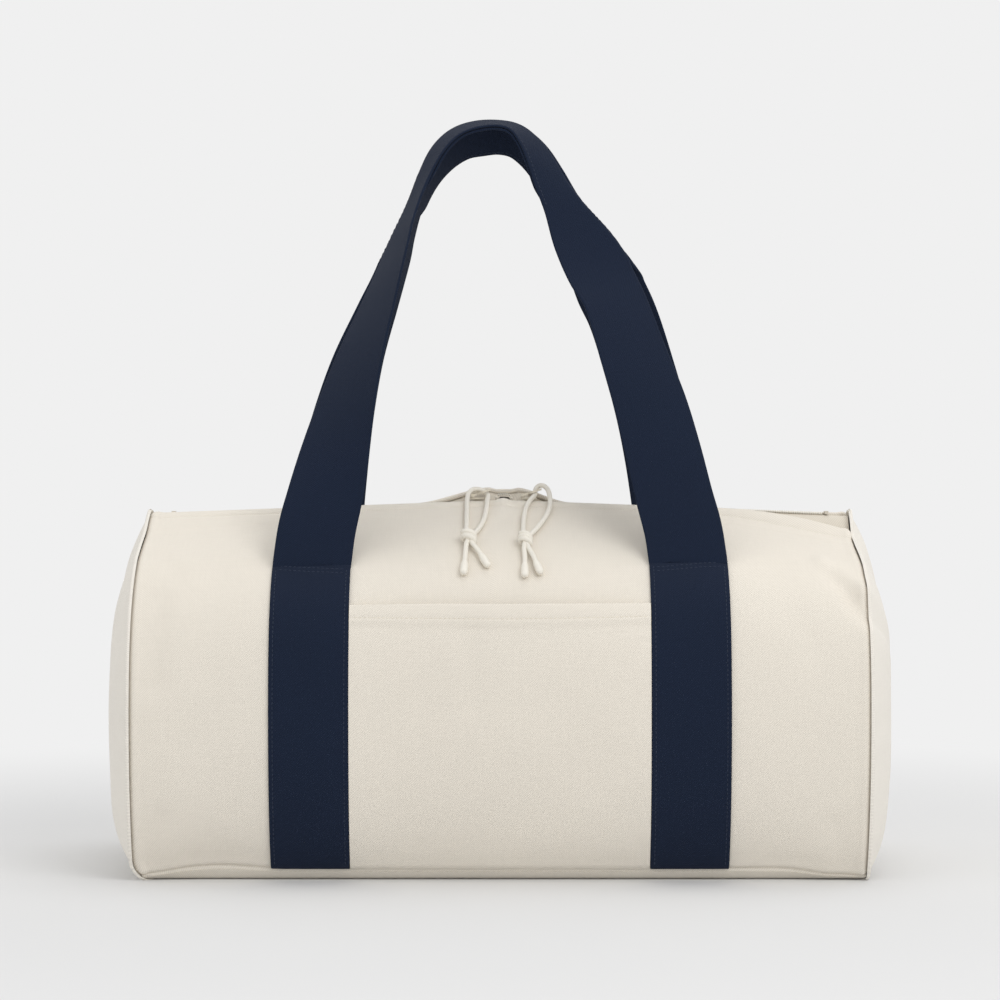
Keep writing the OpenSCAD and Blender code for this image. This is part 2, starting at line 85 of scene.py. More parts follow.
bpy.ops.object.camera_add(location=(0, -CAMERA_DISTANCE, EYE_HEIGHT), rotation=(math.radians(90), 0, 0))
camera = bpy.context.object
camera.name = "camera"
camera.data.lens = FOCAL_LENGTH
bpy.context.scene.camera = camera
print("camera stands", CAMERA_DISTANCE, "m in front of the bag's middle")

# %% [markdown]
# Most pieces of this bag are cloth, webbing or cord: sheets that are bent, or sheets that are rolled
# into tubes. Each one starts as a flat grid, as the cloth does on the cutting table. Its corners are
# then carried to their places by a rule, and its UV map keeps where each point was on the flat cloth,
# in metres, so that a weave follows the cloth wherever it bends.

# %% A flat grid that a rule bends into shape
def deselect_all():
    bpy.ops.object.select_all(action="DESELECT")


def lay_flat(mesh, flat):
    """Writes each point's place on the flat cloth into the UV map."""
    corner = np.empty(len(mesh.loops), dtype=np.int32)
    mesh.loops.foreach_get("vertex_index", corner)
    mesh.uv_layers.active.data.foreach_set("uv", flat[corner].astype(float).ravel())


def bent_grid(name, across_at, along_at, place, flat_cloth=None, closed=False):
    """A grid with a line of points at each station across and along. place(across, along) gives the
    points, and flat_cloth(across, along) their places on the flat cloth where these aren't the same."""
    deselect_all()
    columns, rows = len(across_at) - 1, len(along_at) - 1
    bpy.ops.mesh.primitive_grid_add(x_subdivisions=columns, y_subdivisions=rows, size=2, calc_uvs=True)
    piece = bpy.context.object
    piece.name = name
    piece.data.name = name
    mesh = piece.data
    flat = np.empty(len(mesh.vertices) * 3)
    mesh.vertices.foreach_get("co", flat)
    flat = (flat.reshape(-1, 3) + 1) / 2
    across = np.array(across_at)[np.rint(flat[:, 0] * columns).astype(int)]
    along = np.array(along_at)[np.rint(flat[:, 1] * rows).astype(int)]
    mesh.vertices.foreach_set("co", np.ascontiguousarray(place(across, along)).ravel())
    lay_flat(mesh, np.stack(flat_cloth(across, along) if flat_cloth else (across, along), 1))
    mesh.update()
    if closed:
        bpy.ops.object.mode_set(mode="EDIT")
        bpy.ops.mesh.select_all(action="SELECT")
        bpy.ops.mesh.remove_doubles(threshold=0.01 * MM)
        bpy.ops.object.mode_set(mode="OBJECT")
    return piece


def thicken(piece, thickness, offset=0.0, even=True):
    """Gives a sheet its thickness: offset 0 puts half on each side, -1 puts it all behind."""
    wall = piece.modifiers.new("thickness", "SOLIDIFY")
    wall.thickness = thickness
    wall.offset = offset
    wall.use_even_offset = even
    bpy.ops.object.modifier_apply(modifier=wall.name)
    return piece


def smooth(piece, degrees=45):
    bpy.ops.object.shade_smooth_by_angle(angle=math.radians(degrees))
    return piece


def close_ends(piece):
    """Fills the open rings at the two ends of a tube and turns its faces outwards."""
    bpy.ops.object.mode_set(mode="EDIT")
    bpy.ops.mesh.select_all(action="DESELECT")
    bpy.ops.mesh.select_non_manifold(extend=False, use_wire=False, use_multi_face=False,
                                     use_non_contiguous=False, use_verts=False)
    bpy.ops.mesh.edge_face_add()
    bpy.ops.mesh.select_all(action="SELECT")
    bpy.ops.mesh.normals_make_consistent(inside=False)
    bpy.ops.object.mode_set(mode="OBJECT")
    return piece


def unit(v):
    """Vectors of length one, for one vector or for rows of them."""
    return v / np.linalg.norm(v, axis=-1, keepdims=True)


def ease(start, end, x):
    """Rises smoothly from 0 at start to 1 at end."""
    t = np.clip((x - start) / (end - start), 0, 1)
    return t * t * (3 - 2 * t)


def bump(x, middle, width):
    """A smooth hump of height one."""
    return np.exp(-((x - middle) / width) ** 2)


def smooth_curve(points, steps):
    """A Catmull-Rom curve through the points, with that many steps from each to the next."""
    p = np.array(points, float)
    p = np.vstack([2 * p[0] - p[1], p, 2 * p[-1] - p[-2]])
    made = []
    for i in range(1, len(p) - 2):
        for t in np.arange(steps) / steps:
            made.append(0.5 * (2 * p[i] + (p[i + 1] - p[i - 1]) * t
                               + (2 * p[i - 1] - 5 * p[i] + 4 * p[i + 1] - p[i + 2]) * t ** 2
                               + (3 * p[i] - p[i - 1] - 3 * p[i + 1] + p[i + 2]) * t ** 3))
    made.append(p[-2])
    return np.array(made)


def lengths_along(path):
    """How far along the path each of its points lies, in metres."""
    return np.concatenate([[0], np.cumsum(np.linalg.norm(np.diff(path, axis=0), axis=1))])


def frames_along(path, up):
    """The two square directions of each ring round the path. up leads the first ring."""
    way = unit(np.gradient(path, axis=0))
    sides = [unit(np.cross(way[0], up))]
    for w in way[1:]:
        sides.append(unit(sides[-1] - w * np.dot(w, sides[-1])))
    side = np.array(sides)
    return side, np.cross(side, way)


TUBE_UP = np.array([0, -0.6, 0.8])


def tube(name, path, radius, sides):
    """A round tube along the path. radius is one number, or one for each point of the path."""
    path = np.array(path, float)
    run = lengths_along(path)
    side, lift = frames_along(path, TUBE_UP)
    radii = np.broadcast_to(np.array(radius, float), (len(path),))

    def place(angle, i):
        ring = np.cos(angle)[:, None] * side[i] + np.sin(angle)[:, None] * lift[i]
        return path[i] + radii[i, None] * ring

    piece = bent_grid(name, np.linspace(0, 2 * math.pi, sides + 1), range(len(path)), place,
                      lambda angle, i: (angle * radii.max(), run[i]), closed=True)
    return smooth(close_ends(piece), 50)


print("helpers for bent sheets and tubes are ready")

# %% [markdown]
# Each puller carries one cord. It goes through the eye of the tab, its two legs are tied together in
# one overhand knot on the front shoulder, and the two tails end in thicker, dipped tips. The cord is
# made here as two halves that part at the eye, so that each is a plain run from the eye to its tip.
# The routes are given here and are the same as those of the solids, in metres.

# %% Routes of the two pull cords
CORD_D = 3.2 * MM
TIP_D = 5 * MM
TIP_LENGTH = 11 * MM
LEFT_LOOP = MM * np.array([
    [-22, -64.8, 219], [-21.8, -58, 220], [-21.7, -48, 224.2], [-21.8, -36, 229.6],
    [-21.8, -24, 234.9], [-21.8, -14, 239.6], [-21.5, -7.5, 243.2], [-20.9, -4, 245.4],
    [-19.4, -1.6, 247.2], [-17.2, -0.1, 248.2], [-14.9, 0.5, 248.3], [-12.6, 0.4, 247.7],
    [-10.6, -0.1, 246.6], [-9, -0.9, 245.4], [-8.2, -2.4, 244.3], [-8, -4.6, 243.3],
    [-8.2, -8, 241.8], [-8.6, -15, 238.7], [-9.2, -26, 233.8], [-10.4, -38, 228.6],
    [-12.8, -49, 223.8], [-16, -58.5, 220], [-18.4, -64.8, 218.6]])
LEFT_TAILS = MM * np.array([
    [[-21.5, -75, 213], [-22, -82, 207.5], [-22.5, -90, 201]],
    [[-18, -74, 213.5], [-14.5, -79.5, 209.5], [-11.5, -85, 205]]])
RIGHT_LOOP = MM * np.array([
    [14.4, -67, 217.9], [15, -60, 219.4], [15.2, -50, 223.5], [15.6, -38, 228.8],
    [16.6, -26, 234], [18.2, -17, 238], [20.4, -9.5, 241.4], [22.3, -5.2, 243.3],
    [23.2, -2.9, 244.4], [23.4, -1.1, 245.6], [23.5, 0.2, 247.1], [24.2, 1.1, 248.9],
    [26.1, 1.3, 250.5], [28.8, 0.4, 250.6], [31.2, -1.6, 248.8], [32.4, -4.3, 246.6],
    [33, -8, 243.7], [33.2, -13, 240.8], [32.6, -22, 236], [30.6, -32, 231.4],
    [27.6, -42, 227], [23.8, -52, 222.6], [20.2, -60.5, 219.2], [18, -67, 217.6]])
RIGHT_TAILS = MM * np.array([
    [[15.4, -77.5, 211], [15.8, -84.5, 205.5], [15.8, -91.5, 199.5]],
    [[18, -77.5, 211], [20.8, -84, 206], [23, -90, 201]]])
LEFT_KNOT = MM * np.array([-20, -68.7, 217.5])
RIGHT_KNOT = MM * np.array([16.3, -71.3, 216])
LEFT_EYE = 12
RIGHT_EYE = 10
CORD_STEPS = 5


def half_cord(leg, knot, tail):
    """Middle line of half a cord: from the eye down its leg, through the knot and along its tail."""
    return smooth_curve(np.vstack([leg, [knot], tail]), CORD_STEPS)


def whole_cord(loop, knot, tails):
    """Length of a cord with both its tips, without what its knot takes."""
    ends = sum(lengths_along(np.vstack([[knot], tail]))[-1] + TIP_LENGTH for tail in tails)
    return round(lengths_along(smooth_curve(np.vstack([loop, [knot]]), 8))[-1] + ends, 3)


print("whole cord, left and right:", whole_cord(LEFT_LOOP, LEFT_KNOT, LEFT_TAILS),
      whole_cord(RIGHT_LOOP, RIGHT_KNOT, RIGHT_TAILS))

# %% [markdown]
# The skin of the bag is one shape: half of its outline is three curves, for the base's turn-up, the
# belly and the shoulder up to the zip. A place on it is given by how far it lies down from the ridge,
# measured along the cloth, so that hems, straps and stitches keep their real widths round the curves.

# %% Outline of the bag
panel_low, panel_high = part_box("front_panel")
base_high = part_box("base_panel")[1]
HALF_LENGTH = panel_high[0]
HALF_DEPTH = -panel_low[1]
SEAM_HEIGHT = base_high[2]
HALF_BASE = base_high[1]
HALF_FLAT = 86 * MM
BELLY_HEIGHT = 105 * MM
RIDGE_HEIGHT = 243 * MM
# The ridge falls from the mouth to both ends, and the skin down to FALL_FROM falls with it
RIDGE_DROP = 9 * MM
FALL_FROM = 207 * MM
MOUTH_X = 2.5 * MM
CANVAS = 1.4 * MM
CURVE_STEPS = 80
# The outward direction turns straight up over this much cloth, so that front and back meet
RIDGE_BLEND = 12 * MM


def curve_between(a, b, c, d):
    """Points of the curve from a to d that b and c pull."""
    t = np.linspace(0, 1, CURVE_STEPS + 1)[:, None]
    a, b, c, d = (np.array(p) for p in (a, b, c, d))
    return (1 - t) ** 3 * a + 3 * t * (1 - t) ** 2 * b + 3 * t * t * (1 - t) * c + t ** 3 * d


turn_up = HALF_BASE - HALF_FLAT
side_rise = BELLY_HEIGHT - SEAM_HEIGHT
top_rise = RIDGE_HEIGHT - BELLY_HEIGHT
OUTLINE = np.vstack([
    curve_between((HALF_FLAT, 0), (HALF_FLAT + 0.5 * turn_up, 0),
                  (HALF_FLAT + 0.75 * turn_up, 0.4 * SEAM_HEIGHT), (HALF_BASE, SEAM_HEIGHT))[:-1],
    curve_between((HALF_BASE, SEAM_HEIGHT),
                  (HALF_BASE + 0.6 * (HALF_DEPTH - HALF_BASE), SEAM_HEIGHT + 0.2 * side_rise),
                  (HALF_DEPTH, SEAM_HEIGHT + 0.55 * side_rise), (HALF_DEPTH, BELLY_HEIGHT))[:-1],
    curve_between((HALF_DEPTH, BELLY_HEIGHT), (HALF_DEPTH, BELLY_HEIGHT + 0.69 * top_rise),
                  (0.7 * HALF_DEPTH, BELLY_HEIGHT + 0.73 * top_rise), (0, RIDGE_HEIGHT))])[::-1]
DOWN = lengths_along(OUTLINE)
outline_way = unit(np.gradient(OUTLINE, axis=0))
flatten = (1 - ease(0, RIDGE_BLEND, DOWN))[:, None]
OUTLINE_OUT = unit((1 - flatten) * np.stack([-outline_way[:, 1], outline_way[:, 0]], 1)
                   + flatten * np.array([0, 1]))


def down_at_height(height):
    """How far down from the ridge the skin has this height."""
    return np.interp(height, OUTLINE[::-1, 1], DOWN[::-1])


def down_at_depth(depth):
    """How far down from the ridge, on the shoulder, the skin is this far from the bag's middle."""
    return np.interp(depth, OUTLINE[:CURVE_STEPS + 1, 0], DOWN[:CURVE_STEPS + 1])


SEAM_DOWN = down_at_height(SEAM_HEIGHT)
FLAT_DOWN = DOWN[-1]
print("cloth from ridge to base seam:", round(SEAM_DOWN, 4), "m, to the flat of the base:",
      round(FLAT_DOWN, 4))

# %% [markdown]
# Canvas never hangs as true as a drawing. Two scales of soft noise make its broad hollows, and a few
# creases are laid where the photograph shows them: at the right shoulder, beside the left strap, in
# the lower corners and faintly on and above the pocket. The back isn't seen, so it only gets the noise.

# %% Hollows and creases of the canvas
BROAD = 0.9 * MM
FINE = 0.35 * MM
BROAD_SPAN = 100 * MM
FINE_SPAN = 36 * MM
# The noise fades in below the ridge and out above the base seam
RIDGE_FADE = (4 * MM, 40 * MM)
SEAM_FADE = 25 * MM
# Each crease on the front: from x, z to x, z, its height (a hollow is below zero) and its width, in mm
CREASES = [
    (206, 208, 231, 189, 2.4, 5), (212, 199, 232, 171, -3.0, 6), (221, 182, 229, 169, -1.2, 4),
    (-150, 216, -151, 203, -0.9, 4), (-216, 183, -218, 126, -2.1, 9), (-222, 212, -206, 198, -1.2, 6),
    (212, 34, 217, 14, -1.2, 9), (-214, 40, -224, 16, -1.2, 8), (176, 196, 196, 150, -0.9, 12),
    (-178, 190, -190, 140, -0.8, 12), (8, 150, 3, 196, -0.5, 9),
    (-19, 157, -17, 112, -0.9, 7), (96, 120, 60, 60, -0.6, 12)]


def soft_noise(x, down, span, seed):
    return np.array([noise.noise(Vector((a / span, b / span, seed))) for a, b in zip(x, down)])


def relief(x, down, side):
    """How far the canvas stands out from its drawn shape, in metres."""
    out = (BROAD * soft_noise(x, down, BROAD_SPAN, 3.7 * side + 9)
           + FINE * soft_noise(x, down, FINE_SPAN, 5.1 * side + 31))
    out *= ease(*RIDGE_FADE, down) * ease(0, SEAM_FADE, SEAM_DOWN - down)
    if side < 0:
        z = np.interp(down, DOWN, OUTLINE[:, 1])
        for x0, z0, x1, z1, height, width in CREASES:
            way = np.array([x1 - x0, z1 - z0]) * MM
            t = np.clip(((x - x0 * MM) * way[0] + (z - z0 * MM) * way[1]) / (way @ way), 0, 1)
            away = np.hypot(x - x0 * MM - t * way[0], z - z0 * MM - t * way[1])
            out += height * MM * bump(away, 0, width * MM)
    return out


# The front's right corner has slumped: its hem swings open from here to the end seam, and sags
SLUMP_START = 128 * MM
SLUMP_SWING = 13 * MM
SLUMP_LIFT = 2.4 * MM
SLUMP_SAG = 11.5 * MM
# Towards the left end the shoulder sinks a little with the ridge
LEFT_SAG = 5 * MM
LEFT_SAG_START = -30 * MM
# How far down from the ridge each of the two sets in, and where it dies away
SLUMP_IN, SLUMP_OUT = (2 * MM, 22 * MM), (30 * MM, 190 * MM)
SAG_IN, SAG_OUT = (8 * MM, 40 * MM), (100 * MM, 200 * MM)
# The lower corners are round, the left one more than the right
LEFT_TUCK = 14 * MM
RIGHT_TUCK = 4 * MM
TUCK_REACH = 60 * MM
# The seam of the base doesn't run true at the front: it dips at both ends and rises a little beside
# the left strap
SEAM_DIP = 4.6 * MM
SEAM_RISE = 2 * MM
LEFT_DIP, RIGHT_DIP = (-192 * MM, -236 * MM), (176 * MM, 218 * MM)
RISE_AT = (-176 * MM, 22 * MM)
DIP_REACH = 40 * MM


def slump_reach(x):
    """How far the slump has grown: 0 where it starts, 1 at the end seam."""
    return np.clip((x - SLUMP_START) / (HALF_LENGTH - SLUMP_START), 0, 1)


def slump(x, down, side):
    """How far the front has sunk below its drawn height at the right corner and the left shoulder."""
    left = LEFT_SAG * np.clip((LEFT_SAG_START - x) / (HALF_LENGTH + LEFT_SAG_START), 0, 1)
    left = left * ease(*SAG_IN, down) * (1 - ease(*SAG_OUT, down))
    right = SLUMP_SAG * slump_reach(x) ** 1.15 * ease(*SLUMP_IN, down) * (1 - ease(*SLUMP_OUT, down))
    return (left + right) * (side < 0)


def corner_tuck(x, z):
    """How far the round lower corners draw the skin in along the bag."""
    radius = np.where(x < 0, LEFT_TUCK, RIGHT_TUCK)
    below = np.clip(1 - z / radius, 0, 1)
    return radius * (1 - np.sqrt(1 - below * below)) * ease(HALF_LENGTH - TUCK_REACH, HALF_LENGTH, np.abs(x))


def seam_dip(x, down, height):
    """How far the front's base seam lies below its drawn line, fading out above and below it."""
    dip = SEAM_DIP * (ease(*LEFT_DIP, x) + ease(*RIGHT_DIP, x)) - SEAM_RISE * bump(x, *RISE_AT)
    above = ease(SEAM_DOWN - DIP_REACH, SEAM_DOWN, down)
    return dip * np.where(down > SEAM_DOWN, height / SEAM_HEIGHT, above)


def skin(x, down, off, side):
    """Points of the bag's outside: down from the ridge, off it by off, on side -1 (front) or 1 (back)."""
    depth = np.interp(down, DOWN, OUTLINE[:, 0])
    height = np.interp(down, DOWN, OUTLINE[:, 1])
    out = np.stack([np.interp(down, DOWN, OUTLINE_OUT[:, i]) for i in (0, 1)])
    off = off + relief(x, down, side)
    share = np.where(x < MOUTH_X, (MOUTH_X - x) / (HALF_LENGTH + MOUTH_X),
                     (x - MOUTH_X) / (HALF_LENGTH - MOUTH_X))
    fall = RIDGE_DROP * share * np.maximum(0, (height - FALL_FROM) / (RIDGE_HEIGHT - FALL_FROM))
    z = height + off * out[1] - fall - slump(x, down, side)
    if side < 0:
        z = z - seam_dip(x, down, height)
    return np.stack([x - np.sign(x) * corner_tuck(x, z), side * (depth + off * out[0]), z], 1)


print("creases on the front:", len(CREASES))

# %% [markdown]
# The front and the back are one cloth each. Along the zip the cloth turns over a small radius and runs
# back underneath as a hem, held by one row of stitches. The two folded edges lie 7 mm apart and part a
# little more round the open mouth, where the back hem stands up like a lip. Solidify makes the walls.

# %% Front and back panels
FOLD_GAP = 7 * MM
HEM_WIDTH = 22 * MM
STITCH_LINE = 9 * MM
FOLD_RADIUS = 0.8 * MM
MOUTH_HALF = 11 * MM
MOUTH_SPREAD = 3 * MM
BACK_LIP = 10.5 * MM
FRONT_LIP = 3 * MM
# A lip stands full as far as LIP_FOOT down from the fold, and has died away at LIP_REACH
LIP_FOOT, LIP_REACH = 2 * MM, 30 * MM
LIP_SHIFT = 2.4 * MM
# Along the bag: where the back lip rises and falls, and the middle and width of the front one
LIP_RISE, LIP_FALL = (-58 * MM, -4 * MM), (8 * MM, 48 * MM)
FRONT_LIP_AT = (2 * MM, 6 * MM)
HEM_PUFF = 0.55 * MM
HEM_STEP = 0.3 * MM
STEP_REACH = 2 * MM
GROOVE_DEPTH, GROOVE_WIDTH = 0.5 * MM, 0.9 * MM
SWING_REACH = 14 * MM
# How the cloth swells and rolls in at its end seams and at the base seam: height, width and depth
END_ROLL = (0.8 * MM, 2.2 * MM, 1.7 * MM)
BASE_ROLL = (0.5 * MM, 2 * MM, 1.8 * MM)
FRONT_AND_BACK = [(-1, "front"), (1, "back")]


def mouth_bow(x):
    """Share by which the sides of the zip bow out at the mouth."""
    return 1 - ease(0.4 * MOUTH_HALF, MOUTH_HALF, np.abs(x - MOUTH_X))


def lip(x, side):
    """Share by which the hem stands up as a lip: long and high at the back, short at the front."""
    if side > 0:
        return ease(*LIP_RISE, x) * (1 - ease(*LIP_FALL, x))
    return bump(x, *FRONT_LIP_AT)


def lip_height(side):
    return BACK_LIP if side > 0 else FRONT_LIP


def fold_edge(x, side):
    """How far down from the ridge the folded edge of the hem lies."""
    edge = down_at_depth(FOLD_GAP / 2 + mouth_bow(x) * MOUTH_SPREAD)
    if side > 0:
        return edge + LIP_SHIFT * lip(x, side)
    return edge + SLUMP_SWING * slump_reach(x) ** 1.5


def edge_roll(away, height, width, depth):
    """Near a seam the cloth swells by height and then rolls in by depth."""
    return height * bump(away, 1.6 * width, width) - depth * np.clip(1 - away / width, 0, 1) ** 2


def hem_form(x, e, side):
    """How far the doubled hem stands out, e metres down from its folded edge."""
    puff = HEM_PUFF * np.sin(math.pi * np.clip(e / STITCH_LINE, 0, 1))
    groove = -GROOVE_DEPTH * bump(e, STITCH_LINE, GROOVE_WIDTH)
    step = HEM_STEP * ease(STITCH_LINE, STITCH_LINE + STEP_REACH, e)
    step = step * (1 - ease(HEM_WIDTH - STEP_REACH, HEM_WIDTH + STEP_REACH, e))
    lifted = lip_height(side) * lip(x, side) * (1 - ease(LIP_FOOT, LIP_REACH, e))
    if side < 0:
        lifted = lifted + SLUMP_LIFT * slump_reach(x) ** 0.7 * (1 - ease(0, SWING_REACH, e))
    return puff + groove + step + lifted


def turned_over(cloth, start, flat_length):
    """Cloth that folds over at its edge: how far round the fold it is, and how far down it lies."""
    turn = np.clip(-cloth / FOLD_RADIUS, 0, math.pi)
    under = np.maximum(-cloth - FOLD_RADIUS * math.pi, 0)
    drawn = np.maximum(cloth, 0) * (SEAM_DOWN - start) / flat_length
    return turn, start + drawn - FOLD_RADIUS * np.sin(turn) + under


def hem_rows(width, shares):
    """Rows round the fold of a hem and then back inside."""
    fold = FOLD_RADIUS * math.pi
    return np.concatenate([-fold * np.arange(1, 7) / 6, -fold - width * np.array(shares)])


def end_stations(spacing):
    """Places along the bag, close together near the end seams."""
    near = MM * np.array([0, 0.5, 1, 1.6, 2.3, 3.1, 4.1, 5.3, 6.8, 8.6])
    inner = HALF_LENGTH - near[-1] - 2 * MM
    middle = np.linspace(-inner, inner, round(2 * inner / spacing) + 1)
    return np.concatenate([-HALF_LENGTH + near, middle, (HALF_LENGTH - near)[::-1]])


def side_panel(name, side):
    # Rows from the base seam up to the zip, closer at both, then round the hem and back inside
    along = np.concatenate([
        SEAM_DOWN - MM * np.array([0, 0.5, 1, 1.6, 2.4, 3.4, 5]),
        np.linspace(SEAM_DOWN - 8 * MM, 34 * MM, 84), np.linspace(32.5 * MM, 0, 30),
        hem_rows(HEM_WIDTH, [0.02, 0.1, 0.25, 0.4, 0.55, 0.7, 0.85, 1])])

    def place(x, cloth):
        start = fold_edge(x, side) + FOLD_RADIUS + CANVAS / 2
        turn, down = turned_over(cloth, start, SEAM_DOWN)
        off = -CANVAS / 2 - FOLD_RADIUS + FOLD_RADIUS * np.cos(turn) + hem_form(x, down - start, side)
        off += edge_roll(HALF_LENGTH - np.abs(x), *END_ROLL) + edge_roll(SEAM_DOWN - down, *BASE_ROLL)
        return skin(x, down, off, side)

    stations = end_stations(2.4 * MM)
    panel = bent_grid(name, -side * stations if side < 0 else stations[::-1], along, place)
    return smooth(thicken(panel, CANVAS))


canvas_pieces = []
for side, where in FRONT_AND_BACK:
    panel = side_panel(f"{where}_panel_cloth", side)
    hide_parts(f"{where}_panel")
    canvas_pieces.append(panel)
    print(panel.name, len(panel.data.polygons), "faces")

# %% [markdown]
# The base is a shallow tray of the same canvas. Its front and back edges turn up to meet the sides in
# a seam that rolls inwards, so it is drawn as one sheet across the bag with both edges tucked in.

# %% Base panel
TRAY_ROLL = (0.3 * MM, 1.6 * MM, 1.6 * MM)


def base_place(x, run):
    """run is the place across the base: zero at its middle, and past the flat up to the seams."""
    side = np.where(run < 0, -1, 1)
    flat = np.minimum(np.abs(run), HALF_FLAT)
    down = FLAT_DOWN - np.maximum(np.abs(run) - HALF_FLAT, 0)
    off = -CANVAS / 2 + edge_roll(down - SEAM_DOWN, *TRAY_ROLL)
    front, back = skin(x, down, off, -1), skin(x, down, off, 1)
    made = np.where(side[:, None] < 0, front, back)
    on_flat = np.abs(run) < HALF_FLAT
    made[on_flat, 1] = (side * flat)[on_flat]
    made[on_flat, 2] = CANVAS / 2
    made[:, 2] = np.maximum(made[:, 2], CANVAS / 2)
    return made


rise_run = FLAT_DOWN - SEAM_DOWN
half_run = HALF_FLAT + rise_run * np.linspace(1, 0, 14)
run_at = np.concatenate([half_run, np.linspace(HALF_FLAT, -HALF_FLAT, 22)[1:-1], -half_run[::-1]])
base = smooth(thicken(bent_grid("base_panel_cloth", end_stations(6 * MM), run_at, base_place), CANVAS))
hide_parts("base_panel")
canvas_pieces.append(base)
print("base panel:", len(base.data.polygons), "faces")

# %% [markdown]
# Each end panel is cut to the outline and puffed out like a pillow. At its seam the cloth first rolls
# up as a narrow welt in the groove beside the side panel, then swells into the dome. It is drawn as
# rings that run round the outline and shrink towards the middle of the dome.

# %% End panels
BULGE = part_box("end_panel_right")[1][0] - HALF_LENGTH
DOME_POWER = 4
# The domes are a little shallower than those of the solids
DOME_REST = 3.6 * MM
DOME_LEAST = 1.35 * MM
DOME_FLOOR = 0.4 * MM
WELT = 1.32 * MM
WELT_INSET = 1.6 * MM
# The welt is thinner at the ridge: its share there, and how far down it is full
WELT_THIN, WELT_FULL_AT = 0.3, 9 * MM
RING_FLAT = 1.5 * MM
PUCKER, PUCKER_SPAN, PUCKER_TURNS = 0.5 * MM, 14 * MM, 6
HOLLOW, HOLLOW_SPAN = 1 * MM, 60 * MM
# Shares of the way out to the seam: where puckers set in, and how far in from it hollows are full
PUCKER_FROM, HOLLOW_IN = (0.5, 0.95), 0.35
# Rows down the outline stand closer above the first of these and below the second
RIDGE_ROWS, SEAM_ROWS = 30 * MM, SEAM_DOWN - 12 * MM

front_down = np.concatenate([
    np.linspace(0, RIDGE_ROWS, 40)[:-1], np.linspace(RIDGE_ROWS, SEAM_ROWS, 110)[:-1],
    np.linspace(SEAM_ROWS, FLAT_DOWN, 26)])
flat_y = np.linspace(-HALF_FLAT, HALF_FLAT, 44)[1:-1]


def end_outline(x):
    """The skin's own outline at one end: down the front, across the base and up the back."""
    at = np.full_like(front_down, x)
    front, back = (skin(at, front_down, 0, side) for side in (-1, 1))
    floor = np.stack([np.full_like(flat_y, front[-1, 0]), flat_y, np.zeros_like(flat_y)], 1)
    return np.vstack([front, floor, back[::-1][:-1]])


def end_panel(name, way):
    outline = end_outline(way * HALF_LENGTH)
    ring = np.vstack([outline, outline[:1]])
    tucked = HALF_LENGTH - np.abs(ring[:, 0])
    ring = ring[:, 1:]
    ring[:, 1] = np.minimum(ring[:, 1], ring[:, 1].max() - RING_FLAT)
    out = unit(np.gradient(ring, axis=0))
    out = np.stack([-out[:, 1], out[:, 0]], 1)
    out[-1] = out[0] = (0, 1)
    run = lengths_along(ring)
    from_ridge = np.minimum(run, run[-1] - run)
    welt_size = WELT_THIN + (1 - WELT_THIN) * ease(0, WELT_FULL_AT, from_ridge)
    count = len(ring)
    welt_turn = np.linspace(0, 1, 7)
    shares = np.concatenate([[0.984, 0.975, 0.965, 0.955], np.linspace(0.945, 0.06, 40), [0]])

    def place(i, row):
        made = np.empty((len(i), 3))
        on_welt = row < len(welt_turn)
        t = welt_turn[np.minimum(row, len(welt_turn) - 1)] * math.pi / 2
        inward = -WELT_INSET + WELT * np.sin(t) * welt_size[i]
        rise = WELT * (1 - np.cos(t))
        welt = ring[i] + inward[:, None] * out[i]
        share = shares[np.clip(row - len(welt_turn), 0, len(shares) - 1)]
        pucker = PUCKER * soft_noise(run[i] / PUCKER_SPAN, share * PUCKER_TURNS, 1, 40 + way)
        pucker *= ease(*PUCKER_FROM, share)
        dome_yz = np.stack([share * ring[i, 0], BELLY_HEIGHT + share * (ring[i, 1] - BELLY_HEIGHT)], 1)
        dome_x = (BULGE - DOME_REST) * (1 - share ** DOME_POWER) + pucker
        hollow = soft_noise(dome_yz[:, 0], dome_yz[:, 1], HOLLOW_SPAN, 17 + way)
        dome_x += HOLLOW * hollow * ease(0, HOLLOW_IN, 1 - share) - HOLLOW
        drawn_in = tucked[i] * np.where(on_welt, 1, share ** 5)
        out_x = np.where(on_welt, rise, np.maximum(dome_x, DOME_LEAST))
        made[:, 0] = way * (HALF_LENGTH - drawn_in + out_x)
        made[:, 1:] = np.where(on_welt[:, None], welt, dome_yz)
        made[:, 2] = np.maximum(made[:, 2], DOME_FLOOR)
        return made

    steps = range(count) if way < 0 else range(count - 1, -1, -1)
    panel = bent_grid(name, steps, range(len(welt_turn) + len(shares)), place, closed=True)
    lay_flat(panel.data, np.array([v.co[1:] for v in panel.data.vertices]))
    return smooth(thicken(panel, CANVAS, -1, even=False), 60)


for name, way in [("end_panel_left", -1), ("end_panel_right", 1)]:
    panel = end_panel(name + "_cloth", way)
    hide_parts(name)
    canvas_pieces.append(panel)
    print(name, len(panel.data.polygons), "faces")

# %% [markdown]
# The patch pocket is a flat piece of the same canvas, sewn to the front at its sides and foot. Its
# mouth is turned over as a hem and stands off the panel by a finger's width, lowest at its middle.

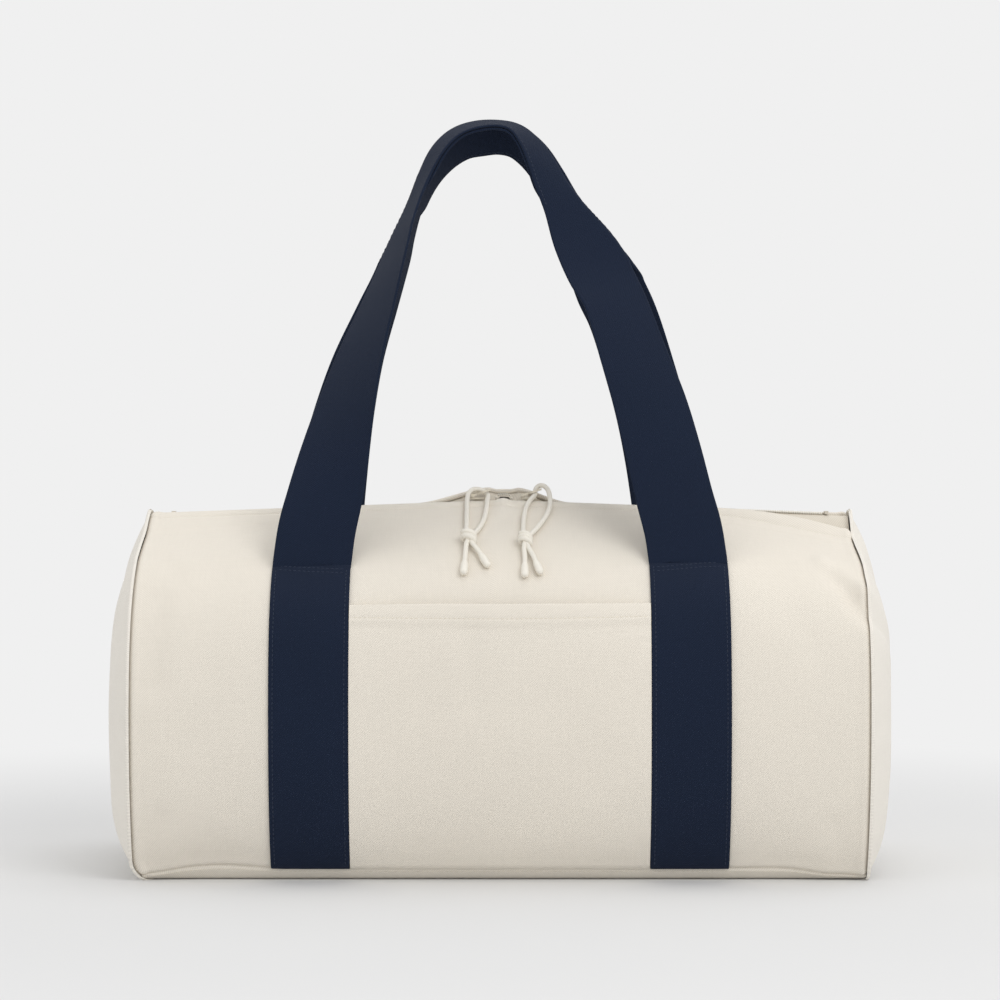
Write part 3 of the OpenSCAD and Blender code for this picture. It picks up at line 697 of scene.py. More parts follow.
# %% Front pocket
POCKET_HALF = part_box("front_pocket")[1][0]
POCKET_TOP = 175 * MM
POCKET_SAG = 4 * MM
POCKET_GAPE = 10 * MM
POCKET_FOOT = 35 * MM
POCKET_T = 1.2 * MM
POCKET_HEM = 9 * MM
POCKET_HEM_ENDS = (POCKET_HEM - 1 * MM, POCKET_HEM + 5 * MM)
POCKET_STITCH_LINE = 0.85 * POCKET_HEM
POCKET_PUFF = 0.15 * MM
POCKET_GROOVE, POCKET_GROOVE_WIDTH = 0.25 * MM, 0.8 * MM
POCKET_ROLL = (0.3 * MM, 2 * MM, 1 * MM)
CLEAR = 0.3 * MM


def pocket_bow(x):
    return 1 - (x / POCKET_HALF) ** 2


def pocket_mouth(x):
    """How far down from the ridge the pocket's mouth lies."""
    return down_at_height(POCKET_TOP - POCKET_SAG * pocket_bow(x))


def pocket_stand(x, down):
    """How far the pocket stands off the front panel."""
    height = np.interp(down, DOWN, OUTLINE[:, 1])
    up = np.clip((height - POCKET_FOOT) / (POCKET_TOP - POCKET_FOOT), 0, 1.02)
    return CLEAR + pocket_bow(x) * (POCKET_GAPE - CLEAR) * up ** 1.8


pocket_long = SEAM_DOWN - down_at_height(POCKET_TOP)


def pocket_place(x, cloth):
    """cloth is the place down from the mouth's fold; below zero it runs back inside, as the hem."""
    start = pocket_mouth(x) + FOLD_RADIUS
    turn, down = turned_over(cloth, start, pocket_long)
    doubled = POCKET_T * (1 - ease(*POCKET_HEM_ENDS, np.abs(down - start)))
    off = pocket_stand(x, down) + POCKET_T / 2 + np.where(cloth > -FOLD_RADIUS * math.pi, doubled, 0)
    off -= FOLD_RADIUS - FOLD_RADIUS * np.cos(turn)
    off = np.maximum(off, CLEAR + POCKET_T / 2)
    puff = POCKET_PUFF * np.sin(math.pi * np.clip(cloth / POCKET_STITCH_LINE, 0, 1))
    groove = POCKET_GROOVE * bump(cloth, POCKET_STITCH_LINE, POCKET_GROOVE_WIDTH)
    off += np.where(cloth > 0, puff - groove, 0)
    off += edge_roll(SEAM_DOWN - down, *POCKET_ROLL)
    return skin(x, down, off, -1)


# Rows from the foot up to the mouth, closer along its hem, then round the hem and back inside
pocket_rows = np.concatenate([
    np.linspace(pocket_long, 16 * MM, 70), np.linspace(14.5 * MM, 0, 24),
    hem_rows(POCKET_HEM, [0.03, 0.2, 0.4, 0.6, 0.8, 1])])
pocket = smooth(thicken(bent_grid("front_pocket_cloth", np.linspace(-POCKET_HALF, POCKET_HALF, 96),
                                  pocket_rows, pocket_place), POCKET_T))
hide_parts("front_pocket")
canvas_pieces.append(pocket)
print("front pocket:", len(pocket.data.polygons), "faces")

# %% [markdown]
# All the webbing is 50 mm wide and 1.8 mm thick, with rounded woven edges. Its cross-section is drawn
# as a closed loop and carried along. On the body it follows the canvas, hollows and all. Along the
# grip it is folded in half about its middle line: one half stays and the other turns behind it.

# %% Webbing on the body
WEBBING = 50 * MM
WEBBING_T = 1.8 * MM
STRAP_X = 120 * MM
STRAP_TOP = 199.7 * MM
STRAP_ROLL = (0, 2.5 * MM, 1.2 * MM)
WEBBING_SEAT = CLEAR + WEBBING_T / 2
EDGE_TURN = np.linspace(-90, 90, 5)[1:-1]


def webbing_outline(steps=16):
    """Loop round the flat webbing: places across it and out of its middle."""
    half, radius = WEBBING / 2, WEBBING_T / 2
    flat = np.linspace(-half + radius, half - radius, steps + 1)
    turn = np.radians(EDGE_TURN)
    loop = ([(u, radius) for u in flat]
            + [(half - radius + radius * math.cos(t), -radius * math.sin(t)) for t in turn]
            + [(u, -radius) for u in flat[::-1]]
            + [(-half + radius - radius * math.cos(t), radius * math.sin(t)) for t in turn])
    return np.array(loop + loop[:1])


LOOP = webbing_outline()
webbing_pieces = []


def strap(name, middle, side):
    rows = np.linspace(SEAM_DOWN - 0.6 * MM, down_at_height(STRAP_TOP), 96)

    def place(step, down):
        u, w = LOOP[step].T
        tuck = edge_roll(SEAM_DOWN - down, *STRAP_ROLL)
        return skin(middle - side * u, down, WEBBING_SEAT + w + tuck, side)

    piece = bent_grid(name, range(len(LOOP)), rows, place,
                      lambda step, down: (LOOP[step, 0], down), closed=True)
    return smooth(close_ends(piece))


for side, where in FRONT_AND_BACK:
    for middle, hand in [(-STRAP_X, "left"), (STRAP_X, "right")]:
        piece = strap(f"{where}_strap_{hand}_webbing", middle, side)
        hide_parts(f"{where}_strap_{hand}")
        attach(piece, "bag")
        webbing_pieces.append(piece)
print("straps:", len(webbing_pieces), "of", len(piece.data.polygons), "faces")

# %% [markdown]
# The handles leave the straps at the cross stitch and lean in until they meet. Their rows are close to
# those of the solids: side place, height, turn in degrees and how far the webbing is folded. Smooth
# curves through the rows replace the straight steps between them. At each end of the grip the fold
# line runs out across the webbing until it leaves its edge, so the folded strip narrows to nothing.

# %% Rows of the two handles
FRONT_SHARES = [
    [-1, 0, 0, 0], [-0.975, 0.07, 2, 0], [-0.935, 0.145, 9, 0], [-0.885, 0.245, 23, 0],
    [-0.83, 0.35, 37, 0], [-0.755, 0.465, 48, 0], [-0.665, 0.58, 58, 0], [-0.57, 0.7, 67, 0.08],
    [-0.465, 0.815, 68, 0.8], [-0.395, 0.888, 62, 1], [-0.328, 0.94, 58, 1], [-0.24, 0.975, 57, 1],
    [-0.13, 0.992, 58, 1], [-0.005, 0.995, 60, 1], [0.09, 0.983, 56, 1], [0.165, 0.95, 47, 1],
    [0.225, 0.905, 37, 1], [0.277, 0.855, 25, 1], [0.345, 0.8, 15, 0.88], [0.437, 0.725, 16, 0.42],
    [0.537, 0.65, 24, 0.08], [0.63, 0.58, 29, 0], [0.725, 0.46, 23, 0], [0.81, 0.35, 14, 0],
    [0.875, 0.245, 8, 0], [0.93, 0.145, 4, 0], [0.975, 0.07, 1, 0], [1, 0, 0, 0]]
BACK_SHARES = [
    [-1, 0, 0, 0], [-1, 0.07, 3, 0], [-0.985, 0.15, 10, 0], [-0.945, 0.25, 24, 0],
    [-0.89, 0.36, 36, 0], [-0.81, 0.48, 47, 0], [-0.7, 0.6, 57, 0], [-0.585, 0.72, 66, 0.12],
    [-0.48, 0.83, 66, 0.95], [-0.405, 0.9, 58, 1], [-0.315, 0.95, 48, 1], [-0.21, 0.983, 38, 1],
    [-0.1, 0.996, 30, 1], [0, 1, 28, 1], [0.1, 0.99, 28, 1], [0.19, 0.96, 30, 1],
    [0.27, 0.915, 34, 1], [0.345, 0.86, 30, 1], [0.425, 0.8, 20, 0.85], [0.515, 0.725, 14, 0.45],
    [0.61, 0.65, 16, 0.12], [0.7, 0.58, 18, 0], [0.795, 0.46, 16, 0], [0.87, 0.35, 12, 0],
    [0.925, 0.245, 8, 0], [0.965, 0.145, 4, 0], [0.99, 0.07, 1, 0], [1, 0, 0, 0]]
FRONT_GRIP = (13 * MM, 491 * MM)
BACK_GRIP = (12 * MM, 483.5 * MM)
HINGE = np.array([0, 87.73 * MM, 201.64 * MM])
ROW_STEPS = 10
FOLD_ARC = math.pi * (WEBBING_T + 0.2 * MM) / 2


def folded(u, w, fold):
    """Places across and out of webbing whose outer part lies folded behind it. At 1 the fold runs along
    the middle line. As fold falls it runs out towards the edge, and at 0 it has left the webbing."""
    radius = FOLD_ARC / math.pi
    line = (WEBBING / 2 + FOLD_ARC) * (1 - fold)
    turn = math.pi * np.clip((u - line) / FOLD_ARC + 0.5, 0, 1)
    before = np.minimum(u, line - FOLD_ARC / 2)
    after = np.maximum(u - line - FOLD_ARC / 2, 0)
    across = before + radius * np.sin(turn) - after + w * np.sin(turn) + fold * WEBBING / 4
    return across, radius * (np.cos(turn) - 1 + ease(0, 0.4, fold)) + w * np.cos(turn)


class HandleLine:
    """The middle line of a handle and the directions of its webbing, in place on the bag."""

    def __init__(self, rows, grip, side):
        away, rise = HINGE[1] - grip[0], grip[1] - HINGE[2]
        lean, up = math.atan2(away, rise), math.hypot(away, rise)
        u = np.array([0, -side * math.sin(lean), math.cos(lean)])
        v = np.array([0, -side * math.cos(lean), -math.sin(lean)])
        rows = np.array(rows, float)
        tops = np.full(2, down_at_height(STRAP_TOP))
        ends = np.array([-STRAP_X, STRAP_X])
        foot = skin(ends, tops, WEBBING_SEAT, side)
        below = skin(ends, tops + 2 * MM, WEBBING_SEAT, side)
        path = (np.array([0, side * HINGE[1], HINGE[2]]) + rows[:, :1] * STRAP_X * np.array([1, 0, 0])
                + (rows[:, 1:2] * up + CLEAR) * u + WEBBING_T / 2 * v)
        path[0], path[-1] = foot
        self.path = smooth_curve(path, ROW_STEPS)
        turned = smooth_curve(rows[:, 2:], ROW_STEPS)
        self.fold = np.clip(turned[:, 1], 0, 1)
        way = unit(np.gradient(self.path, axis=0))
        way[0], way[-1] = unit(foot[0] - below[0]), unit(below[1] - foot[1])
        out = unit(np.cross(way, v) * -side)
        turn = np.radians(turned[:, :1])
        wide = np.cos(turn) * out + np.sin(turn) * v
        self.wide = unit(wide - way * np.sum(wide * way, 1, keepdims=True))
        for end, middle in [(0, -STRAP_X), (-1, STRAP_X)]:
            corners = middle + np.array([-WEBBING, WEBBING]) / 2
            edge = skin(corners, tops, WEBBING_SEAT, side)
            along = unit(edge[1] - edge[0])
            self.wide[end] = along * np.sign(along @ self.wide[end])
        self.thick = np.cross(way, self.wide) * -side
        self.run = lengths_along(self.path)

    def place(self, step, u, w):
        """Points of the webbing at each ring: u across it, w out of its middle."""
        across, out = folded(u, w, self.fold[step])
        return self.path[step] + across[:, None] * self.wide[step] + out[:, None] * self.thick[step]


handle_lines = {-1: HandleLine(FRONT_SHARES, FRONT_GRIP, -1), 1: HandleLine(BACK_SHARES, BACK_GRIP, 1)}
print("webbing in the handles, front and back:", [round(h.run[-1], 3) for h in handle_lines.values()], "m")

# %% Handles
GRIP_LOOP = webbing_outline(60)


def bend_at_stitch(piece, side):
    """Writes the handle's place into its own points."""
    top = skin(np.zeros(1), np.array([down_at_height(STRAP_TOP)]), CLEAR, side)[0]
    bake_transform(piece)


def handle(name, side):
    line = handle_lines[side]

    piece = bent_grid(name, range(len(GRIP_LOOP)), range(len(line.path)),
                      lambda step, row: line.place(row, *GRIP_LOOP[step].T),
                      lambda step, row: (GRIP_LOOP[step, 0], line.run[row]), closed=True)
    return smooth(close_ends(piece))


for side, where in FRONT_AND_BACK:
    piece = handle(f"{where}_handle_webbing", side)
    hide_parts(f"{where}_handle")
    bend_at_stitch(piece, side)
    webbing_pieces.append(piece)
    print(piece.name, len(piece.data.polygons), "faces")

# %% [markdown]
# The zip is two woven tapes under the hems, with a nylon coil along each inner edge. At this size a
# coil reads as a row of small rounded bars, so one bar is modelled and copied along both edges. The
# two rows bow apart round the open mouth between the sliders.

# %% A pattern piece copied to many places
def pill(name, length, width, height):
    """A small rounded bar, long in x, as the pattern for teeth and stitches. It has 24 faces."""
    deselect_all()
    bpy.ops.mesh.primitive_uv_sphere_add(segments=6, ring_count=4, radius=1, rotation=(0, math.pi / 2, 0))
    piece = bpy.context.object
    piece.scale = (height / 2, width / 2, length / 2)
    bpy.ops.object.transform_apply(location=False, rotation=True, scale=True)
    piece.name = name
    return piece


def copies(name, pattern, spots, ways, ups):
    """One piece of many copies of the pattern: its x lies along each way, its z along each up."""
    shape = np.empty(len(pattern.data.vertices) * 3)
    pattern.data.vertices.foreach_get("co", shape)
    shape = shape.reshape(-1, 3)
    ways = unit(np.array(ways))
    sides = unit(np.cross(np.array(ups), ways))
    turns = np.stack([ways, sides, np.cross(ways, sides)], 2)
    points = (np.array(spots)[:, None] + np.einsum("nij,vj->nvi", turns, shape)).reshape(-1, 3)
    faces = [[c + i * len(shape) for c in p.vertices]
             for i in range(len(spots)) for p in pattern.data.polygons]
    mesh = bpy.data.meshes.new(name)
    mesh.from_pydata(points.tolist(), [], faces)
    piece = bpy.data.objects.new(name, mesh)
    bpy.context.collection.objects.link(piece)
    deselect_all()
    piece.select_set(True)
    bpy.context.view_layer.objects.active = piece
    bpy.ops.object.shade_smooth()
    return piece


print("pattern copies are ready")

# %% Zip tapes and coils
TAPE_W = 15 * MM
TAPE_T = 0.7 * MM
TAPE_UNDER = 6 * MM
TAPE_TOP = 2 * CANVAS + CLEAR
COIL_W = 2.5 * MM
COIL_H = 2 * MM
COIL_EDGE = FOLD_GAP / 2 - CLEAR - COIL_W
TAPE_EDGE = COIL_EDGE + COIL_W / 4
CHAIN_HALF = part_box("zip_coil_front")[1][0]
TOOTH_PITCH = 1.5 * MM
TOOTH_END = 0.45 * MM
TOOTH_W = 1.15 * MM
COIL_LIFT = 6 * MM
LIFT_ENDS = (3 * MM, 8 * MM)
TAPE_RISE = 4 * MM


def coil_lift(x, side):
    """How far the back coil stands up with the lip at the open mouth, between the sliders."""
    return COIL_LIFT * (side > 0) * (1 - ease(*LIFT_ENDS, np.abs(x - MOUTH_X)))


def zip_tape(name, side):
    def place(x, share):
        inner = down_at_depth(TAPE_EDGE + mouth_bow(x) * MOUTH_SPREAD)
        outer = np.maximum(down_at_depth(TAPE_EDGE + TAPE_W), fold_edge(x, side) + TAPE_UNDER)
        down = inner + share * (outer - inner)
        coil = down_at_depth(FOLD_GAP / 2 + mouth_bow(x) * MOUTH_SPREAD)
        under = 1 - ease(LIP_FOOT, LIP_REACH, down - fold_edge(x, side))
        rise = lip_height(side) * lip(x, side) * ease(coil, coil + TAPE_RISE, down)
        rise = np.maximum(rise, coil_lift(x, side)) * under
        return skin(x, down, rise - TAPE_TOP - TAPE_T / 2, side)

    stations = np.clip(end_stations(3 * MM), CLEAR - HALF_LENGTH, HALF_LENGTH - CLEAR)
    shares = np.linspace(1, 0, 19)
    tape = bent_grid(name, stations if side < 0 else stations[::-1], shares, place,
                     lambda x, share: (x, share * TAPE_W))
    return smooth(thicken(tape, TAPE_T))


def coil(name, side, pattern):
    x = np.arange(-CHAIN_HALF + TOOTH_PITCH, CHAIN_HALF - 0.5 * TOOTH_PITCH, TOOTH_PITCH)
    x += side * TOOTH_PITCH / 4
    reach = TOOTH_END + (COIL_EDGE + COIL_W - TOOTH_END) / 2 + mouth_bow(x) * MOUTH_SPREAD
    down = down_at_depth(reach)
    off = CLEAR / 2 - TAPE_TOP + COIL_H / 2 + coil_lift(x, side)
    spots = skin(x, down, off, side)
    inner = skin(x, down - 1 * MM, off, side)
    return copies(name, pattern, spots, inner - spots, np.tile([0.0, 0.0, 1.0], (len(x), 1)))


tooth = pill("tooth_pattern", COIL_EDGE + COIL_W - TOOTH_END, TOOTH_W, COIL_H)
zip_pieces = {"zip_tape": [], "zip_coil": []}
for side, where in FRONT_AND_BACK:
    tape = zip_tape(f"zip_tape_{where}_woven", side)
    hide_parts(f"zip_tape_{where}")
    teeth = coil(f"zip_coil_{where}_teeth", side, tooth)
    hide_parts(f"zip_coil_{where}")
    for slot, piece in [("zip_tape", tape), ("zip_coil", teeth)]:
        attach(piece, "bag")
        zip_pieces[slot].append(piece)
    print(where, "tape and coil:", len(tape.data.polygons), "and", len(teeth.data.polygons), "faces")
bpy.data.objects.remove(tooth)

# %% [markdown]
# The pull cords are 3.2 mm cotton cords with dipped ends. The knot is a short coil of the same cord
# wound round its own legs, and the dipped tip is a tube that swells and rounds off.

# %% Pull cords, knots and tips
TIP_LEAD = 1.5 * MM
INSIDE_TIP = 8 * MM
TIP_PLACES = [0, 0.06, 0.13, 0.22, 0.36, 0.52, 0.66, 0.78, 0.87, 0.94, 0.98, 1]
TIP_SHARES = [0.7, 0.78, 0.86, 0.93, 0.99, 1, 1, 0.97, 0.88, 0.68, 0.42, 0.12]
KNOT_DOWN = unit(np.array([0, -0.75, -0.65]))
# How each knot is wound: turns, pitch, radius, first angle and thickness of the cord
LEFT_WOUND = (2.0, 4.2 * MM, 3.5 * MM, 0.9, 1.25 * CORD_D)
RIGHT_WOUND = (2.8, 2.8 * MM, 3.3 * MM, 2.2, CORD_D)


def knot_coil(name, centre, turns, pitch, radius, start, cord):
    """The cord wound round its legs, with both ends tucked in."""
    angle = np.linspace(0, turns * 2 * math.pi, round(turns * 18))
    middle = (angle - angle[-1] / 2) / (2 * math.pi) * pitch
    tuck = ease(0, 0.7, angle) * ease(0, 0.7, angle[-1] - angle)
    reach = radius * (0.35 + 0.65 * tuck)
    across = np.array([1.0, 0, 0])
    lift = np.cross(across, KNOT_DOWN)
    ring = (np.cos(angle + start)[:, None] * (across + 0.25 * KNOT_DOWN)
            + np.sin(angle + start)[:, None] * 0.85 * lift)
    return tube(name, centre + middle[:, None] * KNOT_DOWN + reach[:, None] * ring, cord / 2, 12)


def tip(name, tail):
    way = unit(tail[-1] - tail[-2])
    places = np.interp(np.linspace(0, 1, 17), np.linspace(0, 1, len(TIP_PLACES)), TIP_PLACES)
    path = tail[-1] - TIP_LEAD * way + places[:, None] * (TIP_LENGTH + TIP_LEAD) * way
    return tube(name, path, TIP_D / 2 * np.interp(places, TIP_PLACES, TIP_SHARES), 16)


cord_pieces, tip_pieces = [], []
for hand, loop, eye, knot_at, tails, wound in [
        ("left", LEFT_LOOP, LEFT_EYE, LEFT_KNOT, LEFT_TAILS, LEFT_WOUND),
        ("right", RIGHT_LOOP, RIGHT_EYE, RIGHT_KNOT, RIGHT_TAILS, RIGHT_WOUND)]:
    knot = knot_coil(f"pull_cord_{hand}_knot", knot_at, *wound)
    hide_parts(f"pull_cord_{hand}")
    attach(knot, f"{hand}_slider")
    cord_pieces.append(knot)
    for leg, tail, end in [(loop[eye::-1], tails[0], "a"), (loop[eye:], tails[1], "b")]:
        path = half_cord(leg, knot_at, tail)
        path = np.vstack([path, path[-1] + INSIDE_TIP * unit(path[-1] - path[-2])])
        piece = tube(f"pull_cord_{hand}_{end}", path, CORD_D / 2, 12)
        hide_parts(f"pull_cord_{hand}")
        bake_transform(piece)
        dip = tip(f"cord_tip_{hand}_{end}", tail)
        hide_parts(f"cord_tips_{hand}")
        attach(dip, f"{hand}_slider")
        cord_pieces.append(piece)
        tip_pieces.append(dip)

# %% [markdown]
# Stitches hold everything together and are what the eye reads as sewn. One stitch is a small pill half
# sunk in the cloth. Rows of them are laid at 3 mm along the hems, the straps, the pocket's mouth, the
# base seam and the grips, in cream thread on canvas and navy thread on webbing.

# %% Stitches
STITCH_PITCH = 3 * MM
STITCH_LENGTH = 2.3 * MM
STITCH_W, STITCH_H = 0.7 * MM, 0.5 * MM
WEBBING_ROW = WEBBING / 2 - 2.6 * MM
# The row at the base: how far down it lies, just past the seam, and how far it stands out
BASE_ROW, BASE_ROW_OUT = SEAM_DOWN + 2.2 * MM, 0.25 * MM
HEM_ROW_OUT = 0.05 * MM
ROW_ENDS = 4 * MM
# The cross stitch: the height of its upper row, how far that slants, and the gap to its lower row
CROSS_HEIGHT, CROSS_SLANT, CROSS_GAP = 198.6 * MM, 1.8 * MM, 3.5 * MM
stitch = pill("stitch_pattern", STITCH_LENGTH, STITCH_W, STITCH_H)


def points_at(run, points, at):
    """Points at those lengths along a line whose own points have the lengths run."""
    return np.stack([np.interp(at, run, points[:, i]) for i in range(3)], 1)


def spaced(path, ups):
    """Spots along a path at even spacing, with the way and the outward direction at each."""
    run = lengths_along(path)
    at = np.arange(STITCH_PITCH, run[-1] - STITCH_PITCH / 2, STITCH_PITCH)
    spots = points_at(run, path, at)
    return spots, points_at(run, path, at + 0.5 * MM) - spots, points_at(run, ups, at)


def skin_row(x, down, off, side):
    """A row of stitches on the skin."""
    path = skin(x, down, off, side)
    ups = skin(x, down, off + 1 * MM, side) - path
    return spaced(path, ups)


def sew(name, rows):
    spots, ways, ups = (np.vstack([row[i] for row in rows]) for i in range(3))
    piece = copies(name, stitch, spots, ways, ups)
    print(name, len(spots), "stitches")
    return piece


cream_stitches, navy_stitches = [], []
x = np.linspace(-HALF_LENGTH + ROW_ENDS, HALF_LENGTH - ROW_ENDS, 600)
for side, where in FRONT_AND_BACK:
    start = fold_edge(x, side) + FOLD_RADIUS + CANVAS / 2
    hem_out = hem_form(x, np.full_like(x, STITCH_LINE), side) + HEM_ROW_OUT
    hem = skin_row(x, start + STITCH_LINE, hem_out, side)
    seam = skin_row(x, np.full_like(x, BASE_ROW), BASE_ROW_OUT, side)
    cream_stitches.append(sew(f"hem_stitches_{where}", [hem]))
    cream_stitches.append(sew(f"base_stitches_{where}", [seam]))
    rows = []
    face = CLEAR + WEBBING_T
    down = np.linspace(SEAM_DOWN - 3 * MM, down_at_height(STRAP_TOP - 1 * MM), 240)
    across = np.linspace(-WEBBING_ROW, WEBBING_ROW, 24)
    for middle in (-STRAP_X, STRAP_X):
        for edge in (-1, 1):
            rows.append(skin_row(np.full_like(down, middle + edge * WEBBING_ROW), down, face, side))
        slant = across * math.copysign(1, middle) / (WEBBING / 2)
        for gap in (0, CROSS_GAP):
            crossing = down_at_height(CROSS_HEIGHT + CROSS_SLANT * slant) + gap
            rows.append(skin_row(middle + across, crossing, face, side))
    piece = sew(f"strap_stitches_{where}", rows)
    navy_stitches.append(piece)
    line = handle_lines[side]
    grip = np.flatnonzero(line.fold > 0.9)
    rows = []
    for edge in (-1, 1):
        u = np.full(len(grip), edge * WEBBING_ROW)
        path = line.place(grip, u, np.full(len(grip), WEBBING_T / 2))
        rows.append(spaced(path, line.place(grip, u, np.full(len(grip), WEBBING_T)) - path))
    piece = sew(f"grip_stitches_{where}", rows)
    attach(piece, "front_carry_loop" if side < 0 else "back_carry_loop")
    navy_stitches.append(piece)

x = np.linspace(-POCKET_HALF + 1 * MM, POCKET_HALF - 1 * MM, 300)
mouth_row = np.full_like(x, POCKET_STITCH_LINE)
path = pocket_place(x, mouth_row)
ups = path - skin(x, pocket_mouth(x) + mouth_row, 0, -1)
cream_stitches.append(sew("pocket_stitches", [spaced(path + POCKET_T / 2 * unit(ups), ups)]))
for piece in cream_stitches + navy_stitches:
    if piece.parent is None:
        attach(piece, "bag")
bpy.data.objects.remove(stitch)

# %% [markdown]
# A finish is a small tree of nodes. Cloth gets its weave from waves that read the piece's own UV map,
# which is in metres on the flat cloth, so the ribs keep their real width round every bend. Colours are
# named as the eye sees them on a screen and turned into the light that the shader works with.

# %% Helpers for finishes
WAVE_PERIOD = 2 * math.pi / 20
DIAGONAL_PERIOD = 2 * math.pi / 10 / math.sqrt(2)


def linear(red, green, blue):
    """A colour as seen on a screen, 0 to 255, as linear light."""
    seen = np.array([red, green, blue]) / 255
    light = np.where(seen > 0.04045, ((seen + 0.055) / 1.055) ** 2.4, seen / 12.92)
    return light.tolist() + [1.0]


def add_node(tree, kind, inputs, **settings):
    """Adds a node. Each input gets a plain value, or is joined to another node's output."""
    node = tree.nodes.new("ShaderNode" + kind)
    for key, value in settings.items():
        setattr(node, key, value)
    for key, value in inputs.items():
        if isinstance(value, bpy.types.NodeSocket):
            tree.links.new(value, node.inputs[key])
        else:
            node.inputs[key].default_value = value
    return node


def new_finish(name, plain):
    """A new material, with the plain values on its shader's own sockets."""
    material = bpy.data.materials.new(name)
    material.use_nodes = True
    shader = material.node_tree.nodes["Principled BSDF"]
    for key, value in plain.items():
        shader.inputs[key].default_value = value
    return material, material.node_tree, shader


def weighted(tree, parts):
    """Adds the outputs up, each times its weight."""
    total = 0.0
    for output, weight in parts:
        total = add_node(tree, "Math", {0: output, 1: weight, 2: total}, operation="MULTIPLY_ADD").outputs[0]
    return total


def waves(tree, place, way, period, wander):
    """Even ribs of that period in metres, along X, Y or DIAGONAL."""
    at_one = DIAGONAL_PERIOD if way == "DIAGONAL" else WAVE_PERIOD
    inputs = {"Vector": place, "Scale": at_one / period, "Distortion": wander,
              "Detail": 1.0, "Detail Scale": 0.15}
    return add_node(tree, "TexWave", inputs, wave_type="BANDS", bands_direction=way).outputs["Fac"]


def specks(tree, place, span, stretch=(1, 1, 1), detail=2.0):
    """Soft noise whose blots are about span metres wide, drawn out by stretch."""
    drawn = add_node(tree, "Mapping", {"Vector": place, "Scale": stretch}).outputs[0]
    return add_node(tree, "TexNoise", {"Vector": drawn, "Scale": 1 / span, "Detail": detail}).outputs["Fac"]


def colour_between(tree, share, dark, light):
    mix = tree.nodes.new("ShaderNodeMix")
    mix.data_type = "RGBA"
    tree.links.new(share, mix.inputs[0])
    mix.inputs[6].default_value = dark
    mix.inputs[7].default_value = light
    return mix.outputs[2]


def toned(colour, factor):
    return [min(1.0, c * factor) for c in colour[:3]] + [1.0]


def dress(tree, shader, colour, contrast, share, height, strength, depth):
    """Joins the shader to a colour that follows share and to relief that follows height."""
    seen = colour_between(tree, share, toned(colour, 1 - contrast), toned(colour, 1 + contrast))
    tree.links.new(seen, shader.inputs["Base Color"])
    raised = add_node(tree, "Bump", {"Height": height, "Strength": strength, "Distance": depth})
    tree.links.new(raised.outputs[0], shader.inputs["Normal"])


def give(finish, pieces):
    for piece in pieces:
        piece.data.materials.clear()
        piece.data.materials.append(finish)


print("finish helpers are ready")

# %% [markdown]
# Canvas and webbing are twills: fine diagonal ribs, crossed by single yarns, with thicker yarns here
# and there and a slow change of tone. The canvas is unbleached cotton. The webbing is spun yarn with a
# faint sheen and a plain woven edge. One function makes them all, with their own ribs and colours.

# %% Woven finishes
def woven(name, colour, rib, yarn, contrast, depth, sheen, edge_at=None):
    plain = {"Roughness": 0.92, "Specular IOR Level": 0.25, "Sheen Weight": sheen, "Sheen Roughness": 0.5}
    finish, tree, shader = new_finish(name, plain)
    coordinates = add_node(tree, "TexCoord", {})
    cloth, body = coordinates.outputs["UV"], coordinates.outputs["Object"]
    ribs = waves(tree, cloth, "DIAGONAL", rib, 0.8)
    warp = waves(tree, cloth, "X", yarn, 0.6)
    weft = waves(tree, cloth, "Y", yarn, 0.6)
    thick_warp = specks(tree, cloth, 1.1 * MM, (1, 0.05, 1))
    thick_weft = specks(tree, cloth, 1.1 * MM, (0.05, 1, 1))
    tone = specks(tree, body, 65 * MM, detail=1.0)
    thick = [(thick_warp, 0.22), (thick_weft, 0.22)]
    share = weighted(tree, [(ribs, 0.6), (warp, 0.2), (weft, 0.2), *thick, (tone, 0.22)])
    share = add_node(tree, "Math", {0: share, 1: 0.33}, operation="SUBTRACT").outputs[0]
    height = weighted(tree, [(ribs, 0.5), (warp, 0.18), (weft, 0.18), *thick])
    if edge_at:
        across = add_node(tree, "SeparateXYZ", {0: cloth}).outputs[0]
        away = add_node(tree, "Math", {0: across}, operation="ABSOLUTE").outputs[0]
        groove = add_node(tree, "Math", {0: away, 1: edge_at, 2: 0.35 * MM}, operation="COMPARE").outputs[0]
        height = weighted(tree, [(height, 1.0), (groove, -0.8)])
    dress(tree, shader, colour, contrast, share, height, 0.8, depth)
    return finish


CREAM = linear(231, 224, 212)
# The ends' colour is the canvas made lighter: painted light for the brighter light on the end panels, which
# are the same canvas
CREAM_END_PAINTED_LIGHT = linear(235, 230, 221)
NAVY = linear(17, 29, 50)
canvas_finish = woven("unbleached_canvas", CREAM, 1.1 * MM, 0.7 * MM, 0.11, 0.2 * MM, 0.1)
# The end panels get this lighter copy of the canvas as painted light, not as a different cloth
end_canvas_painted_light_finish = woven("end_canvas_painted_lighter", CREAM_END_PAINTED_LIGHT, 1.1 * MM, 0.7 * MM, 0.08, 0.2 * MM, 0.1)
webbing_finish = woven("navy_webbing", NAVY, 1.15 * MM, 0.6 * MM, 0.25, 0.25 * MM, 0.03, WEBBING_ROW)
tape_finish = woven("zip_tape", linear(222, 214, 200), 1.0 * MM, 0.45 * MM, 0.1, 0.2 * MM, 0.1)
for piece in canvas_pieces:
    give(end_canvas_painted_light_finish if piece.name.startswith("end_panel") else canvas_finish, [piece])
give(webbing_finish, webbing_pieces)
give(tape_finish, zip_pieces["zip_tape"])
print("woven finishes: canvas, end canvas, webbing and tape")

# %% [markdown]
# The rest is small: nylon coil, painted sliders, smooth knitted cord, rubbery dipped tips and sewing
# thread. Each has a little unevenness in its colour or height, so that none looks like plain plastic.

